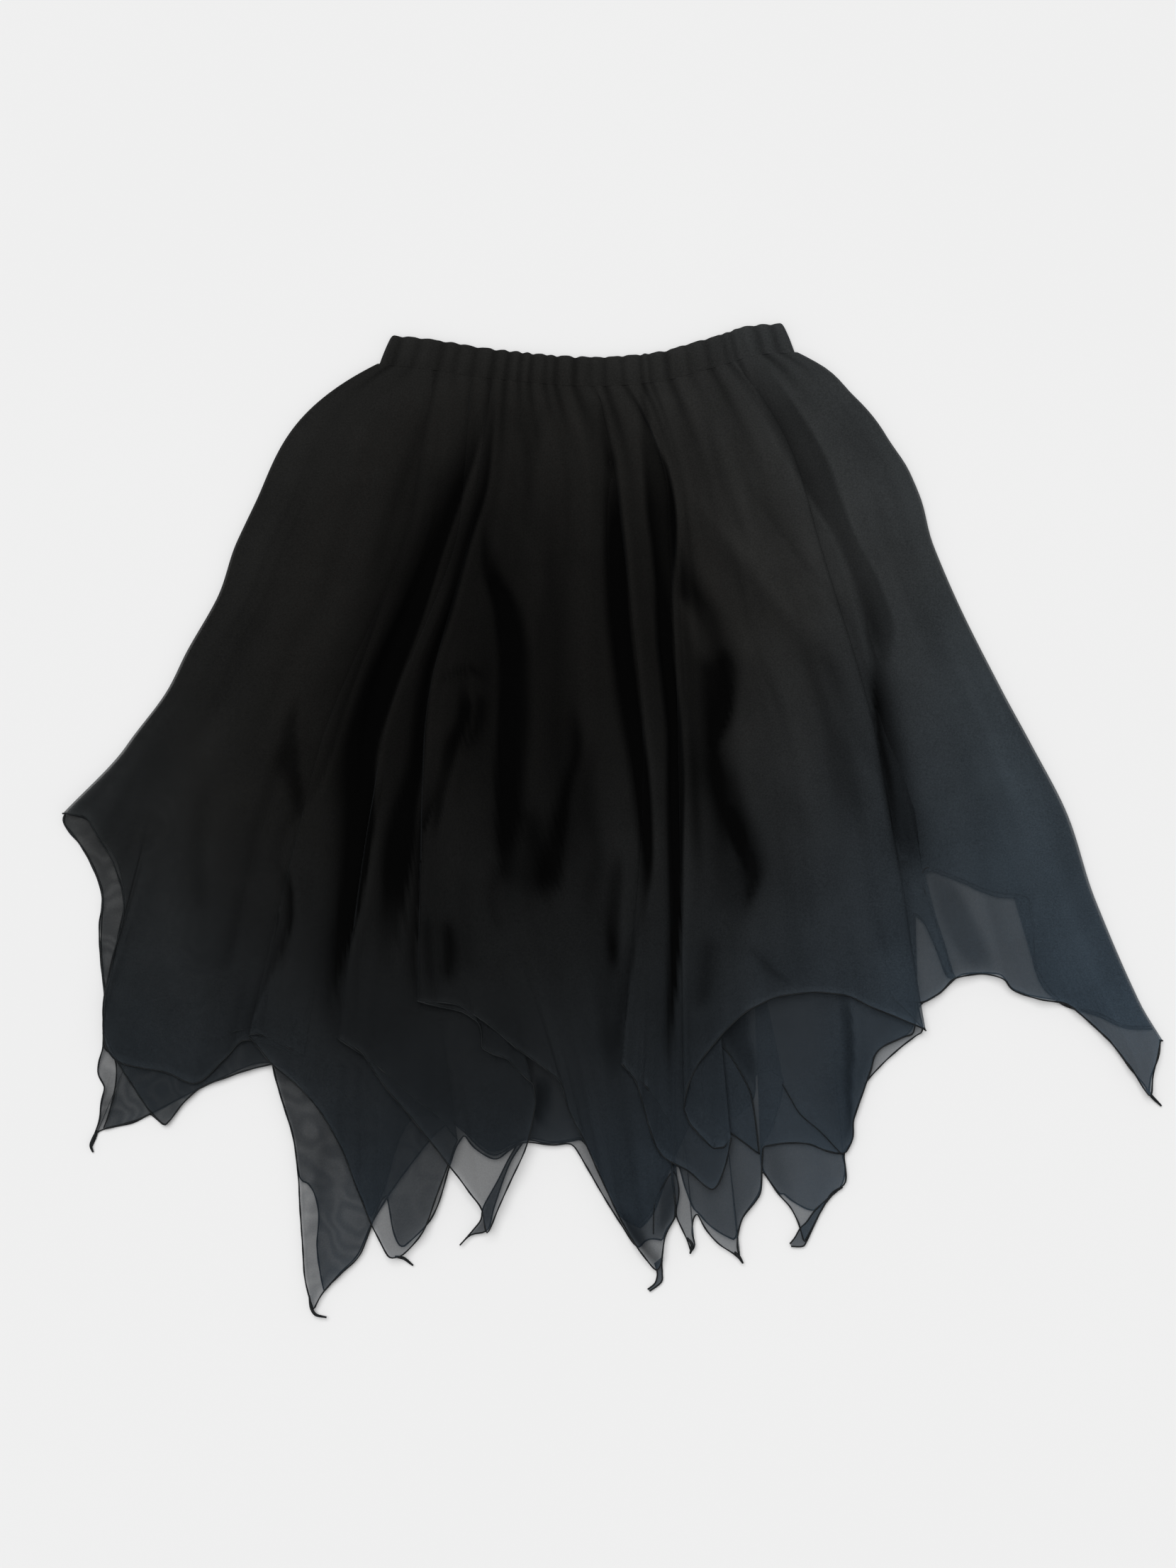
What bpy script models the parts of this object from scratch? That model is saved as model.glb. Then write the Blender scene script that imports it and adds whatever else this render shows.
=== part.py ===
"""Tiered handkerchief-hem skirt, laid flat: a gathered waist casing over an overlay and an under tier.

World frame: metres, +X to the right, +Y towards the waist, +Z up, the underside flat on z = 0 and the origin
under the middle of the outline. The tables give millimetres from the middle of the waist's top edge:
across to the right, and drop towards the hem.
"""

import bmesh
import bpy
import mathutils
import numpy as np

MM = 0.001

WALL = 1.1  # thickness of a cloth wall
SEAM_GAP = 0.3  # clearance between pieces
LAYER_PITCH = WALL + SEAM_GAP
PLY_PITCH = 1.7  # rise from one ply of a lapped pleat to the next
TURN_REACH = 1.0  # how far the rounded turn of a pleat stands out sideways

WAIST_LEFT = -156.0  # the two ends of the relaxed waist's top edge
WAIST_RIGHT = 151.0
CASING_HEIGHT = 22.0
CASING_FLARE = 1.05  # how much wider the casing is where it meets the tiers
CASING_WALL = 2.6
GATHERS = 23
COLUMNS_PER_GATHER = 4
SEAM_POINTS = 25
CASING_ROWS = 4
GATHER_RELIEF = 1.3
GATHER_SHIFTS = 31.0  # how fast the gathers drift from an even spacing along the waist
GATHER_DRIFT = 0.35  # how far they drift, in radians of a gather
RUFFLE_HEIGHT = 0.8  # waves along the casing's top edge

HIP_DROP = 107.0  # the two lines at which a rib's place is given between the waist and the hem
KNEE_DROP = 300.0
HIP_SWELL = 0.0020  # how far a rib bows out above the hip, per mm of its run squared
HIP_LEFT = -256.0
HIP_RIGHT = 254.0
KNEE_LEFT = -358.0
KNEE_RIGHT = 341.0
HIP_STEEPNESS = 0.65  # slope of a rib at the hip, against the mean of the slopes above and below it

RISE_END = 20.0  # below the casing, where the plies have risen onto each other
TOP_ROWS = (0.0, 10.0, RISE_END, 36.0, 58.0, 84.0)  # distances below the casing that every rib shares
ROWS = 15
FULL_LAP = 4.0  # how far two flaps lap once the ply between them has folded flat
LIFT_END = 0.75  # the share of a rib's length over which its fold stands up

BLACK_CHIFFON = (0.012, 0.013, 0.014, 1.0)
BLACK_CASING = (0.014, 0.015, 0.013, 1.0)
CHIFFON_ROUGHNESS = 0.75
CASING_ROUGHNESS = 0.85
SHARP_ANGLE = 50.0

# Share of the waist's width from its left end, and the drop of its top edge there.
WAIST_EDGE = (
    (0.00, -18),
    (0.12, -14),
    (0.24, -8),
    (0.52, -1),
    (0.66, -4),
    (0.80, -15),
    (0.93, -26),
    (1.00, -27),
)

# A rib runs from the waist to the hem. Ribs are listed along the cloth, so they go back where a pleat laps.
# Ply is how many plies lie under the rib, lift is how far its fold stands up.
RIB_COLUMNS = ("waist", "hip", "knee", "hem", "drop", "ply", "hem_ply", "lift")

LEFT_PANEL = (
    (-156, -256, -358, -407, 353, 0, 0, 0),
    (-153.5, -250, -350, -386, 363, 0, 0, 0),
    (-151, -244, -342, -372, 384, 0, 0, 1),
    (-148.5, -238, -334, -366, 405, 0, 0, 2),
    (-146, -233, -327, -362, 428, 0, 0, 2),
    (-144, -228, -321, -368, 456, 0, 0, 1),
    (-142, -223, -315, -373, 475, 0, 0, 1),
    (-140, -218, -308, -378, 506, 0, 0, 0),
    (-138, -212, -301, -378, 524, 0, 0, 0),
    (-135, -204, -289, -367, 546, 0, 0, 2),
    (-132, -192, -270, -331, 554, 0, 0, 4),
    (-129, -178, -252, -307, 563, 0, 0, 1),
    (-126, -163, -232, -283, 526, 0, 0, 3),
    (-122, -142, -211, -265, 521, 0, 0, 0),
    (-118, -121, -183, -222, 542, 0, 0, 0),
)
FIRST_POINT = (
    (-114, -135, -208, -265, 525, 2, 2, 2),
    (-111, -131, -201, -248, 546, 2, 2, 4),
    (-108, -127, -191, -218, 573, 2, 2, 5),
    (-105, -121, -182, -195, 609, 2, 1, 4),
    (-102, -117, -175, -179, 650, 2, 0, 1),
    (-100, -114, -169, -168, 676, 2, 0, 0),
    (-98, -112, -165, -157, 694, 2, 0, 0),
    (-97, -110, -162, -139, 704, 2, 0, 0),
    (-95, -106, -158, -127, 671, 2, 0, 0),
    (-93, -100, -150, -113, 635, 2, 1, 0),
    (-91, -93, -139, -101, 602, 2, 2, 0),
)
SECOND_POINT = (
    (-88, -98, -161, -195, 526, 4, 4, 2),
    (-86, -92, -150, -162, 560, 4, 4, 4),
    (-84, -88, -141, -131, 598, 4, 4, 3),
    (-82.5, -86, -135, -97, 642, 4, 3, 1),
    (-81, -84, -131, -84, 661, 4, 2, 0),
    (-80, -83, -128, -80, 678, 4, 2, 0),
    (-79, -82, -125, -70, 656, 4, 2, 0),
    (-78, -81, -122, -60, 634, 4, 3, 0),
    (-77, -79, -117, -49, 609, 4, 4, 0),
    (-75, -76, -109, -42, 576, 4, 4, 0),
)
THIRD_POINT = (
    (-72, -87, -129, -134, 498, 6, 6, 3),
    (-70, -83, -122, -108, 500, 6, 6, 4),
    (-68, -79, -115, -88, 510, 6, 6, 4),
    (-66, -75, -108, -58, 534, 6, 6, 3),
    (-63, -70, -101, -23, 562, 6, 6, 1),
    (-58, -60, -85, -17, 582, 5, 5, 0),
    (-51, -48, -67, -5, 606, 4, 4, 4),
    (-43, -36, -47, 11, 642, 3, 2, 6),
    (-35, -23, -26, 27, 675, 2, 1, 1),
    (-29, -14, -14, 43, 697, 0.5, 0.5, 1),
    (-24, -6, -4, 49, 724, 0, 0, 2),
    (-20, -1, 5, 54, 717, 0, 0, 4),
    (-16, 4, 14, 57, 689, 0, 0, 3),
    (-10, 16, 34, 61, 652, 0, 0, 0),
    (-1, 40, 64, 67, 608, 0, 0, 0),
)
FOURTH_POINT = (
    (5, 31, 54, 24, 547, 2, 2, 2),
    (8, 34, 57, 37, 563, 2, 2, 3),
    (10, 37, 61, 43, 582, 2, 2, 3),
    (13, 40, 64, 55, 618, 2, 2, 2),
    (16, 45, 68, 75, 630, 2, 2, 0),
    (19, 50, 72, 95, 644, 2, 2, 0),
    (24, 62, 80, 114, 624, 2, 2, 0),
)
CENTRE_ARCH = (
    (29, 53, 68, 72, 582, 4, 4, 2),
    (32, 56, 71, 75, 566, 4, 4, 4),
    (35, 59, 75, 83, 548, 4, 4, 6),
    (39, 63, 82, 97, 530, 4, 4, 5),
    (43, 69, 90, 113, 514, 4, 4, 3),
    (48, 75, 100, 127, 503, 4, 4, 0),
    (56, 85, 117, 147, 495, 3, 3, 5),
    (65, 97, 136, 174, 492, 2, 2, 6),
    (75, 110, 155, 196, 494, 2, 2, 3),
    (85, 125, 177, 219, 504, 2, 2, 5),
    (95, 142, 199, 239, 512, 2, 2, 4),
    (104, 162, 223, 257, 521, 2, 2, 2),
)
RIGHT_PANEL = (
    (109, 151, 205, 236, 497, 0, 0, 0),
    (112, 162, 220, 256, 500, 0, 0, 0),
    (115, 172, 236, 274, 488, 0, 0, 2),
    (118, 181, 250, 285, 480, 0, 0, 0),
    (121, 190, 263, 306, 478, 0, 0, 3),
    (124, 197, 273, 323, 482, 0, 0, 5),
    (127, 205, 282, 334, 490, 0, 0, 4),
    (130, 212, 291, 353, 498, 0, 0, 2),
    (133, 218, 299, 372, 501, 0, 0, 1),
    (136, 224, 306, 385, 514, 0, 0, 0),
    (139, 230, 313, 403, 533, 0, 0, 1),
    (142, 236, 320, 420, 556, 0, 0, 1),
    (145, 242, 327, 434, 580, 0, 0, 0),
    (148, 248, 334, 437, 556, 0, 0, 0),
    (151, 254, 341, 442, 527, 0, 0, 0),
)
OVERLAY_FLAPS = (
    LEFT_PANEL,
    FIRST_POINT,
    SECOND_POINT,
    THIRD_POINT,
    FOURTH_POINT,
    CENTRE_ARCH,
    RIGHT_PANEL,
)

# Across and drop of the points along the hems of the layers that lie flat, from the left seam to the right.
UNDERSKIRT_FRONT_HEM = (
    (-404, 355),
    (-366, 437),
    (-375, 514),
    (-365, 553),
    (-342, 587),
    (-332, 596),
    (-325, 585),
    (-314, 577),
    (-299, 565),
    (-278, 556),
    (-246, 548),
    (-242, 566),
    (-235, 589),
    (-228, 635),
    (-223, 712),
    (-218, 731),
    (-215, 742),
    (-205, 745),
    (-214, 736),
    (-196, 712),
    (-177, 694),
    (-170, 676),
    (-150, 635),
    (-123, 597),
    (-98, 603),
    (-73, 624),
    (-51, 609),
    (-12, 614),
    (9, 654),
    (29, 678),
    (56, 685),
    (67, 667),
    (78, 695),
    (84, 663),
    (97, 685),
    (116, 702),
    (118, 686),
    (125, 662),
    (132, 648),
    (134, 612),
    (196, 617),
    (203, 604),
    (206, 588),
    (214, 563),
    (228, 547),
    (240, 536),
    (256, 524),
    (262, 400),
    (292, 404),
    (334, 416),
    (349, 462),
    (371, 501),
    (406, 531),
    (437, 520),
)
UNDERSKIRT_BACK_HEM = (
    (-407, 357),
    (-391, 386),
    (-381, 410),
    (-380, 475),
    (-381, 536),
    (-376, 567),
    (-341, 587),
    (-299, 565),
    (-247, 549),
    (-224, 602),
    (-202, 707),
    (-169, 672),
    (-117, 602),
    (-79, 580),
    (-35, 612),
    (-2, 629),
    (37, 675),
    (84, 630),
    (108, 668),
    (134, 629),
    (148, 646),
    (158, 662),
    (162, 679),
    (163, 691),
    (168, 688),
    (179, 662),
    (187, 650),
    (197, 640),
    (200, 626),
    (212, 566),
    (253, 525),
    (266, 404),
    (338, 420),
    (371, 500),
    (438, 522),
)
OVERLAY_BACK_HEM = (
    (-410, 360),
    (-405, 370),
    (-396, 381),
    (-384, 401),
    (-380, 422),
    (-381, 470),
    (-381, 520),
    (-383, 560),
    (-385, 595),
    (-388, 618),
    (-379, 601),
    (-341, 587),
    (-299, 564),
    (-250, 547),
    (-215, 575),
    (-150, 600),
    (-70, 560),
    (0, 600),
    (80, 560),
    (140, 600),
    (156, 640),
    (177, 660),
    (200, 600),
    (262, 500),
    (275, 487),
    (289, 480),
    (313, 478),
    (329, 489),
    (371, 500),
    (387, 516),
    (420, 555),
    (437, 575),
    (443, 530),
)


def clear_scene():
    """Remove everything that a new file holds."""
    for obj in list(bpy.data.objects):
        bpy.data.objects.remove(obj, do_unlink=True)


def cloth_material(name, colour, roughness):
    """Plain cloth finish."""
    material = bpy.data.materials.new(name)
    material.use_nodes = True
    shader = material.node_tree.nodes["Principled BSDF"]
    shader.inputs["Base Color"].default_value = colour
    shader.inputs["Roughness"].default_value = roughness
    shader.inputs["Metallic"].default_value = 0.0
    return material


def smooth_curve(at, places, values, steepness=1.0):
    """Values on a smooth curve through the given ones, which never swings past them.

    Its slopes at the inner places are the harmonic means of those on either side, times steepness.
    """
    run = np.diff(places)
    steep = np.diff(values) / run
    slopes = np.concatenate([steep[:1], np.zeros(len(steep) - 1), steep[-1:]])
    same_way = steep[:-1] * steep[1:] > 0
    together = steep[:-1] + steep[1:]
    slopes[1:-1][same_way] = 2 * (steep[:-1] * steep[1:])[same_way] / together[same_way]
    slopes[1:-1] *= steepness
    piece = np.clip(np.searchsorted(places, at, side="right") - 1, 0, len(run) - 1)
    share = (at - places[piece]) / run[piece]
    rise = share * share * (3 - 2 * share)
    leave = share * (1 - share) ** 2 * run[piece] * slopes[piece]
    arrive = share * share * (1 - share) * run[piece] * slopes[piece + 1]
    return values[piece] + (values[piece + 1] - values[piece]) * rise + leave - arrive


def waist_share(across):
    """Share of the waist's width at a place across it."""
    return (across - WAIST_LEFT) / (WAIST_RIGHT - WAIST_LEFT)


def top_edge(across):
    """Drop of the waist's top edge at a place across it."""
    shares, drops = np.array(WAIST_EDGE).T
    return smooth_curve(waist_share(across), shares, drops)


def seam_drop(across):
    """Drop of the line where the tiers meet the casing."""
    return top_edge(across) + CASING_HEIGHT + SEAM_GAP


def flared(across, down):
    """Place across the casing at a share of its height, where it widens towards the tiers."""
    return across * (1 + (CASING_FLARE - 1) * down)


def rib_points(waist, hip, knee, hem, drop):
    """Distance below the casing, across and drop of the points along one rib.

    The rib is a smooth curve through its four places, bowed out above the hip. Its first points are at the
    distances that all ribs share, and the rest are evenly spaced to the hem.
    """
    seam = seam_drop(waist)
    top_rows = np.array(TOP_ROWS)
    shares = np.linspace(0, 1, ROWS - len(top_rows) + 1)[1:]
    downs = np.concatenate([top_rows, top_rows[-1] + (drop - seam - top_rows[-1]) * shares])
    drops = seam + downs
    start = flared(waist, 1.0)
    places = np.array([start, hip, knee, hem], float)
    across = smooth_curve(drops, np.array([seam, HIP_DROP, KNEE_DROP, drop]), places, (HIP_STEEPNESS, 1.0))
    to_hip = np.clip(downs / (HIP_DROP - seam), 0, 1)
    reach = hip - start
    bow = 27 / 4 * to_hip * (1 - to_hip) ** 2
    return downs, across + HIP_SWELL * reach * abs(reach) * bow, drops


def gather_wave(share, down):
    """Height of the waist's uneven gathers, 0 to 1, at a share of its width and of the casing's height."""
    phase = 2 * np.pi * GATHERS * share + GATHER_DRIFT * np.sin(GATHER_SHIFTS * share + 2 * down)
    return 0.5 - 0.5 * np.cos(phase)


def rib_column(rib, height):
    """Middle of the cloth along one rib of the front overlay: across, drop and height of each point."""
    downs, across, drops = rib_points(rib["waist"], rib["hip"], rib["knee"], rib["hem"], rib["drop"])
    risen = np.clip(downs / RISE_END, 0, 1)
    along = np.clip(downs / downs[-1] / LIFT_END, 0, 1)
    stands = np.sin(np.pi * along) ** 2
    plies = np.full(ROWS, float(rib["ply"]))
    plies[-1] = rib["hem_ply"]
    gather = GATHER_RELIEF * gather_wave(waist_share(rib["waist"]), 1.0) * (1 - risen)
    level = height + plies * PLY_PITCH * risen + rib["lift"] * stands + gather
    return np.stack([across, drops, level], axis=1)


def turned_columns(last, first, step):
    """The back ply between two flaps and its two rounded turns, from the columns of points that it joins.

    Step is 1 where the next flap lies on top and -1 where it goes under. Above where the flaps lap, the ply
    is a straight ramp from one to the other.
    """
    lap = np.clip((last[:, :1] - first[:, :1]) / FULL_LAP, 0, 1)
    rise = np.array([0, 0, step * PLY_PITCH])
    reach = np.array([TURN_REACH, 0, 0])
    folded = (last + rise / 2 + reach, last + rise, first - rise, first - rise / 2 - reach)
    ramp = [last + share * (first - last) for share in (0.2, 0.4, 0.6, 0.8)]
    return [plain + lap * (turned - plain) for plain, turned in zip(ramp, folded)]


def lapped_surface(flaps, height):
    """Middle surface of the front overlay: every flap's ribs, and the plies that go back between flaps."""
    columns = []
    ply = 0
    for flap in flaps:
        ribs = [dict(zip(RIB_COLUMNS, row)) for row in flap]
        flap_columns = [rib_column(rib, height) for rib in ribs]
        if columns:
            columns.extend(turned_columns(columns[-1], flap_columns[0], np.sign(ribs[0]["ply"] - ply)))
        columns.extend(flap_columns)
        ply = ribs[-1]["ply"]
    return np.array(columns) * (1, -1, 1)


def surface_normals(grid):
    """Unit normals of a grid of points, which turn right over with the cloth in a lapped pleat."""
    normals = np.cross(np.gradient(grid, axis=1), np.gradient(grid, axis=0))
    return normals / np.linalg.norm(normals, axis=2, keepdims=True)


def side_line(waist, hip, knee, hem_end):
    """Side seam of a layer that lies flat, from the casing to the end of its hem."""
    return np.stack(rib_points(waist, hip, knee, *hem_end)[1:], axis=1)


def flat_outline(hem_rows):
    """Outline of a layer that lies flat: along the casing, down the right side, back along the hem and up."""
    along = np.linspace(WAIST_LEFT, WAIST_RIGHT, SEAM_POINTS)
    seam = np.stack([flared(along, 1.0), seam_drop(along)], axis=1)
    hem = np.array(hem_rows, float)
    left = side_line(WAIST_LEFT, HIP_LEFT, KNEE_LEFT, hem[0])
    right = side_line(WAIST_RIGHT, HIP_RIGHT, KNEE_RIGHT, hem[-1])
    return np.concatenate([seam, right[1:], hem[-2::-1], left[-2:0:-1]])


def casing_surface(height, relief):
    """One side of the waist casing: a band along the waist with uneven gathers that stand up by relief."""
    share = np.linspace(0, 1, GATHERS * COLUMNS_PER_GATHER + 1)[:, None]
    down = np.linspace(0, 1, CASING_ROWS)[None, :]
    along = WAIST_LEFT + (WAIST_RIGHT - WAIST_LEFT) * share + 0 * down
    wave = gather_wave(share, down)
    drops = top_edge(along) + CASING_HEIGHT * down - RUFFLE_HEIGHT * wave * (1 - down)
    return np.stack([flared(along, down), -drops, height + relief * wave], axis=2)


def add_solid(name, points, faces, material):
    """A closed body from points in millimetres and faces of any size."""
    mesh = bpy.data.meshes.new(name)
    mesh.from_pydata((points * MM).tolist(), [], faces)
    shape = bmesh.new()
    shape.from_mesh(mesh)
    bmesh.ops.recalc_face_normals(shape, faces=shape.faces)
    bmesh.ops.triangulate(shape, faces=shape.faces)
    shape.to_mesh(mesh)
    shape.free()
    mesh.shade_smooth()
    mesh.set_sharp_from_angle(angle=np.radians(SHARP_ANGLE))
    mesh.materials.append(material)
    obj = bpy.data.objects.new(name, mesh)
    bpy.context.scene.collection.objects.link(obj)
    return obj


def add_slab(name, outline, height, material):
    """A flat wall of cloth with the given outline, its underside at a height."""
    count = len(outline)
    ring = np.arange(count)
    beside = np.roll(ring, -1)
    sides = np.stack([ring, beside, beside + count, ring + count], axis=1)
    plan = outline * (1, -1)
    lower = np.column_stack([plan, np.full(count, height)])
    points = np.concatenate([lower, lower + (0, 0, WALL)])
    faces = [ring[::-1].tolist(), (ring + count).tolist(), *sides.tolist()]
    return add_solid(name, points, faces, material)


def add_wall(name, lower, upper, material):
    """A closed wall between two grids of points, with a rim round its edge."""
    columns, rows = lower.shape[:2]
    index = np.arange(columns * rows).reshape(columns, rows)
    cells = np.stack([index[:-1, :-1], index[1:, :-1], index[1:, 1:], index[:-1, 1:]], axis=-1).reshape(-1, 4)
    rim = np.concatenate([index[:, 0], index[-1, 1:], index[-2::-1, -1], index[0, -2:0:-1]])
    beside = np.roll(rim, -1)
    above = columns * rows
    sides = np.stack([rim, beside, beside + above, rim + above], axis=-1)
    faces = np.concatenate([cells, cells[:, ::-1] + above, sides[:, ::-1]])
    points = np.concatenate([lower.reshape(-1, 3), upper.reshape(-1, 3)])
    return add_solid(name, points, faces.tolist(), material)


def centre_on_origin(pieces):
    """Slide every piece by the same amount, so that the middle of the outline is over the origin."""
    corners = np.array([vertex.co[:] for piece in pieces for vertex in piece.data.vertices])
    low = corners.min(axis=0)
    high = corners.max(axis=0)
    shift = -(low + high) / 2
    shift[2] = -low[2]
    for piece in pieces:
        piece.data.transform(mathutils.Matrix.Translation(shift))


def build_flat_layers(material):
    """The three layers under the front overlay, from the surface upwards."""
    hems = (
        ("overlay_back", OVERLAY_BACK_HEM),
        ("underskirt_back", UNDERSKIRT_BACK_HEM),
        ("underskirt_front", UNDERSKIRT_FRONT_HEM),
    )
    return [
        add_slab(name, flat_outline(hem), layer * LAYER_PITCH, material)
        for layer, (name, hem) in enumerate(hems)
    ]


def build_overlay_front(layers_below, material):
    """The front overlay, its flaps lapped over each other and the centre over the right panel."""
    middle = lapped_surface(OVERLAY_FLAPS, layers_below * LAYER_PITCH + WALL / 2)
    half = surface_normals(middle) * WALL / 2
    return add_wall("overlay_front", middle - half, middle + half, material)


def build_casing(material):
    """The casing's back half, which lies flat, and its gathered front half on top."""
    pieces = []
    for name, height, relief in (
        ("waist_casing_back", 0.0, 0.0),
        ("waist_casing_front", CASING_WALL + SEAM_GAP, GATHER_RELIEF),
    ):
        lower = casing_surface(height, 0.0)
        upper = casing_surface(height + CASING_WALL, relief)
        pieces.append(add_wall(name, lower, upper, material))
    return pieces


clear_scene()
chiffon = cloth_material("black_chiffon", BLACK_CHIFFON, CHIFFON_ROUGHNESS)
casing_cloth = cloth_material("gathered_casing", BLACK_CASING, CASING_ROUGHNESS)
skirt = build_flat_layers(chiffon)
skirt.append(build_overlay_front(len(skirt), chiffon))
skirt.extend(build_casing(casing_cloth))
centre_on_origin(skirt)
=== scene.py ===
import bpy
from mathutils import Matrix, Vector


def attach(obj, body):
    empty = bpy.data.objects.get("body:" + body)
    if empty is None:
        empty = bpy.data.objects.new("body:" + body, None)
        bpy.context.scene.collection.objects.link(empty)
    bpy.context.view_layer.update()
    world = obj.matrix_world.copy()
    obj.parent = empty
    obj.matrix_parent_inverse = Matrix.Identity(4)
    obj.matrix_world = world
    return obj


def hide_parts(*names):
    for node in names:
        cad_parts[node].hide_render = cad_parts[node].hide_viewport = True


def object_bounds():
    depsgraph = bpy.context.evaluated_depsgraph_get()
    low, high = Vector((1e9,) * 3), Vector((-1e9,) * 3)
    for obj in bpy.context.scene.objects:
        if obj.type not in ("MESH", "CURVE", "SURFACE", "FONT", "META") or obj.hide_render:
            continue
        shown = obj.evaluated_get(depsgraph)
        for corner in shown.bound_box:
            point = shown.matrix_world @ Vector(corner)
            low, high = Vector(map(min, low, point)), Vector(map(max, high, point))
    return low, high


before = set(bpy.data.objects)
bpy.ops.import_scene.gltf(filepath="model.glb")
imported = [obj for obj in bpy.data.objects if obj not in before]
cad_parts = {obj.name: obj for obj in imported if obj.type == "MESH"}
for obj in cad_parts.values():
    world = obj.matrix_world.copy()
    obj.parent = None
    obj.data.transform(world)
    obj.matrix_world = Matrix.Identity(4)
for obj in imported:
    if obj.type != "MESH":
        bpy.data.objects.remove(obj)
cadBox = [list(corner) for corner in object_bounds()]

import math

import bpy
import numpy as np

mm = 0.001

# The cloth is laid out in millimetres from the middle of the waist's top edge: across to the right, and drop
# towards the hem. The photo's frame is 1659 by 2212 pixels, at 0.55 mm a pixel.
skirt = {
    "waistLeft": -156.0,
    "waistRight": 151.0,
    "casingHeight": 22.0,
    "casingFlare": 1.05,  # how much wider the casing is where it meets the tiers
    "seamGap": 0.3,
    "hipDrop": 107.0,
    "hipLeft": -256.0,
    "hipRight": 254.0,
    "hipSwell": 0.0020,
    "hipSteepness": 0.65,
    "kneeDrop": 300.0,
    "kneeLeft": -358.0,
    "kneeRight": 341.0,
    "leftEnd": -410.0,  # the outermost hem point, which fixes where the cloth lies in the frame
    "lowestDrop": 745.0,
    "layerPitch": 1.4,
    "plyPitch": 1.7,
    "wall": 1.1,
    "sideEase": 55.0,  # how far from each side seam, at the waist, the seams' own bends reach
    "leftBends": ((107, 0), (142, -1), (187, 4.5), (227, 2.5), (257, 4.5), (300, 0), (353, 0)),
    "rightBends": ((-10, 0), (5, 1), (30, -6), (60, -6), (88, -1), (107, 0), (145, -5), (193, -6), (257, -4),
                   (300, -0.5), (350, 3.5), (421, -4), (470, -5), (500, -4.5), (530, 0)),
    "waistEdge": ((0.00, -18), (0.12, -14), (0.24, -8), (0.52, -1), (0.66, -4), (0.80, -15), (0.93, -26),
                  (1.0, -27)),
}
shiftAcross = cadBox[0][0] / mm - skirt["leftEnd"]
shiftDrop = cadBox[0][1] / mm + skirt["lowestDrop"]


def toWorld(across, drop, level):
    # Metres in the frame: x from across, y against drop, z from the height above the floor.
    across, drop, level = np.broadcast_arrays(across, drop, level)
    return np.stack([across + shiftAcross, shiftDrop - drop, level], axis=-1) * mm


def smoothStep(x):
    # 3x^2 - 2x^3 between 0 and 1, flat outside.
    x = np.clip(x, 0, 1)
    return x * x * (3 - 2 * x)


def smoothCurve(at, places, values, steepness=1.0):
    # A cubic between each two places; an inner place's slope is the harmonic mean of the slopes beside it.
    places, values = np.atleast_2d(places).astype(float), np.atleast_2d(values).astype(float)
    at = np.atleast_2d(at)
    run = np.diff(places, axis=1)
    steep = np.diff(values, axis=1) / run
    product = steep[:, :-1] * steep[:, 1:]
    together = np.where(product > 0, steep[:, :-1] + steep[:, 1:], 1.0)
    inner = np.where(product > 0, 2 * product / together, 0.0) * steepness
    slopes = np.concatenate([steep[:, :1], inner, steep[:, -1:]], axis=1)
    piece = (at[:, :, None] >= places[:, None, 1:-1]).sum(axis=2)
    piece, at = np.broadcast_arrays(piece, at)

    def pick(table, offset=0):
        table = np.broadcast_to(table, (len(at), table.shape[1]))
        return np.take_along_axis(table, piece + offset, axis=1)

    share = (at - pick(places)) / pick(run)
    leave = share * (1 - share) ** 2 * pick(run) * pick(slopes)
    arrive = share * share * (1 - share) * pick(run) * pick(slopes, 1)
    return pick(values) + (pick(values, 1) - pick(values)) * share * share * (3 - 2 * share) + leave - arrive


def waistShare(across):
    # 0 at the waist's left end and 1 at its right.
    return (across - skirt["waistLeft"]) / (skirt["waistRight"] - skirt["waistLeft"])


def topEdge(across):
    # Drop of the waist's top edge: a smooth curve through the waistEdge table.
    shares, drops = np.array(skirt["waistEdge"]).T
    return smoothCurve(waistShare(np.ravel(across)), shares, drops).reshape(np.shape(across))


def seamDrop(across):
    # Drop of the casing's lower edge, where the tiers start: top edge's drop + casing's height + a gap.
    return topEdge(across) + skirt["casingHeight"] + skirt["seamGap"]


def ribLines(waist, hip, knee, hem, drop, rows):
    # Each rib is a smooth curve from the casing through the hip and knee lines to the hem, bowed out above
    # the hip by swell * reach^2 * 27/4 s(1-s)^2, and near a side seam bent by that seam's table. Returns
    # distance below the casing, across and drop of each point.
    seam = seamDrop(waist)
    downs = (drop - seam)[:, None] * rows
    drops = seam[:, None] + downs
    start = waist * skirt["casingFlare"]
    level = np.full_like(waist, skirt["hipDrop"])
    places = np.stack([seam, level, np.full_like(waist, skirt["kneeDrop"]), drop], axis=1)
    values = np.stack([start, hip, knee, hem], axis=1)
    across = smoothCurve(drops, places, values, (skirt["hipSteepness"], 1.0))
    toHip = np.clip(downs / (skirt["hipDrop"] - seam)[:, None], 0, 1)
    reach = (hip - start)[:, None]
    across = across + skirt["hipSwell"] * reach * abs(reach) * 27 / 4 * toHip * (1 - toHip) ** 2
    fromLeft, fromRight = waist - skirt["waistLeft"], skirt["waistRight"] - waist
    for bends, distance in (("leftBends", fromLeft), ("rightBends", fromRight)):
        places, shifts = np.array(skirt[bends], float).T
        held = np.clip(np.ravel(drops), places[0], places[-1])
        near = 1 - smoothStep(distance / skirt["sideEase"])
        across = across + near[:, None] * smoothCurve(held, places, shifts).reshape(drops.shape)
    return downs, across, drops


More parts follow.
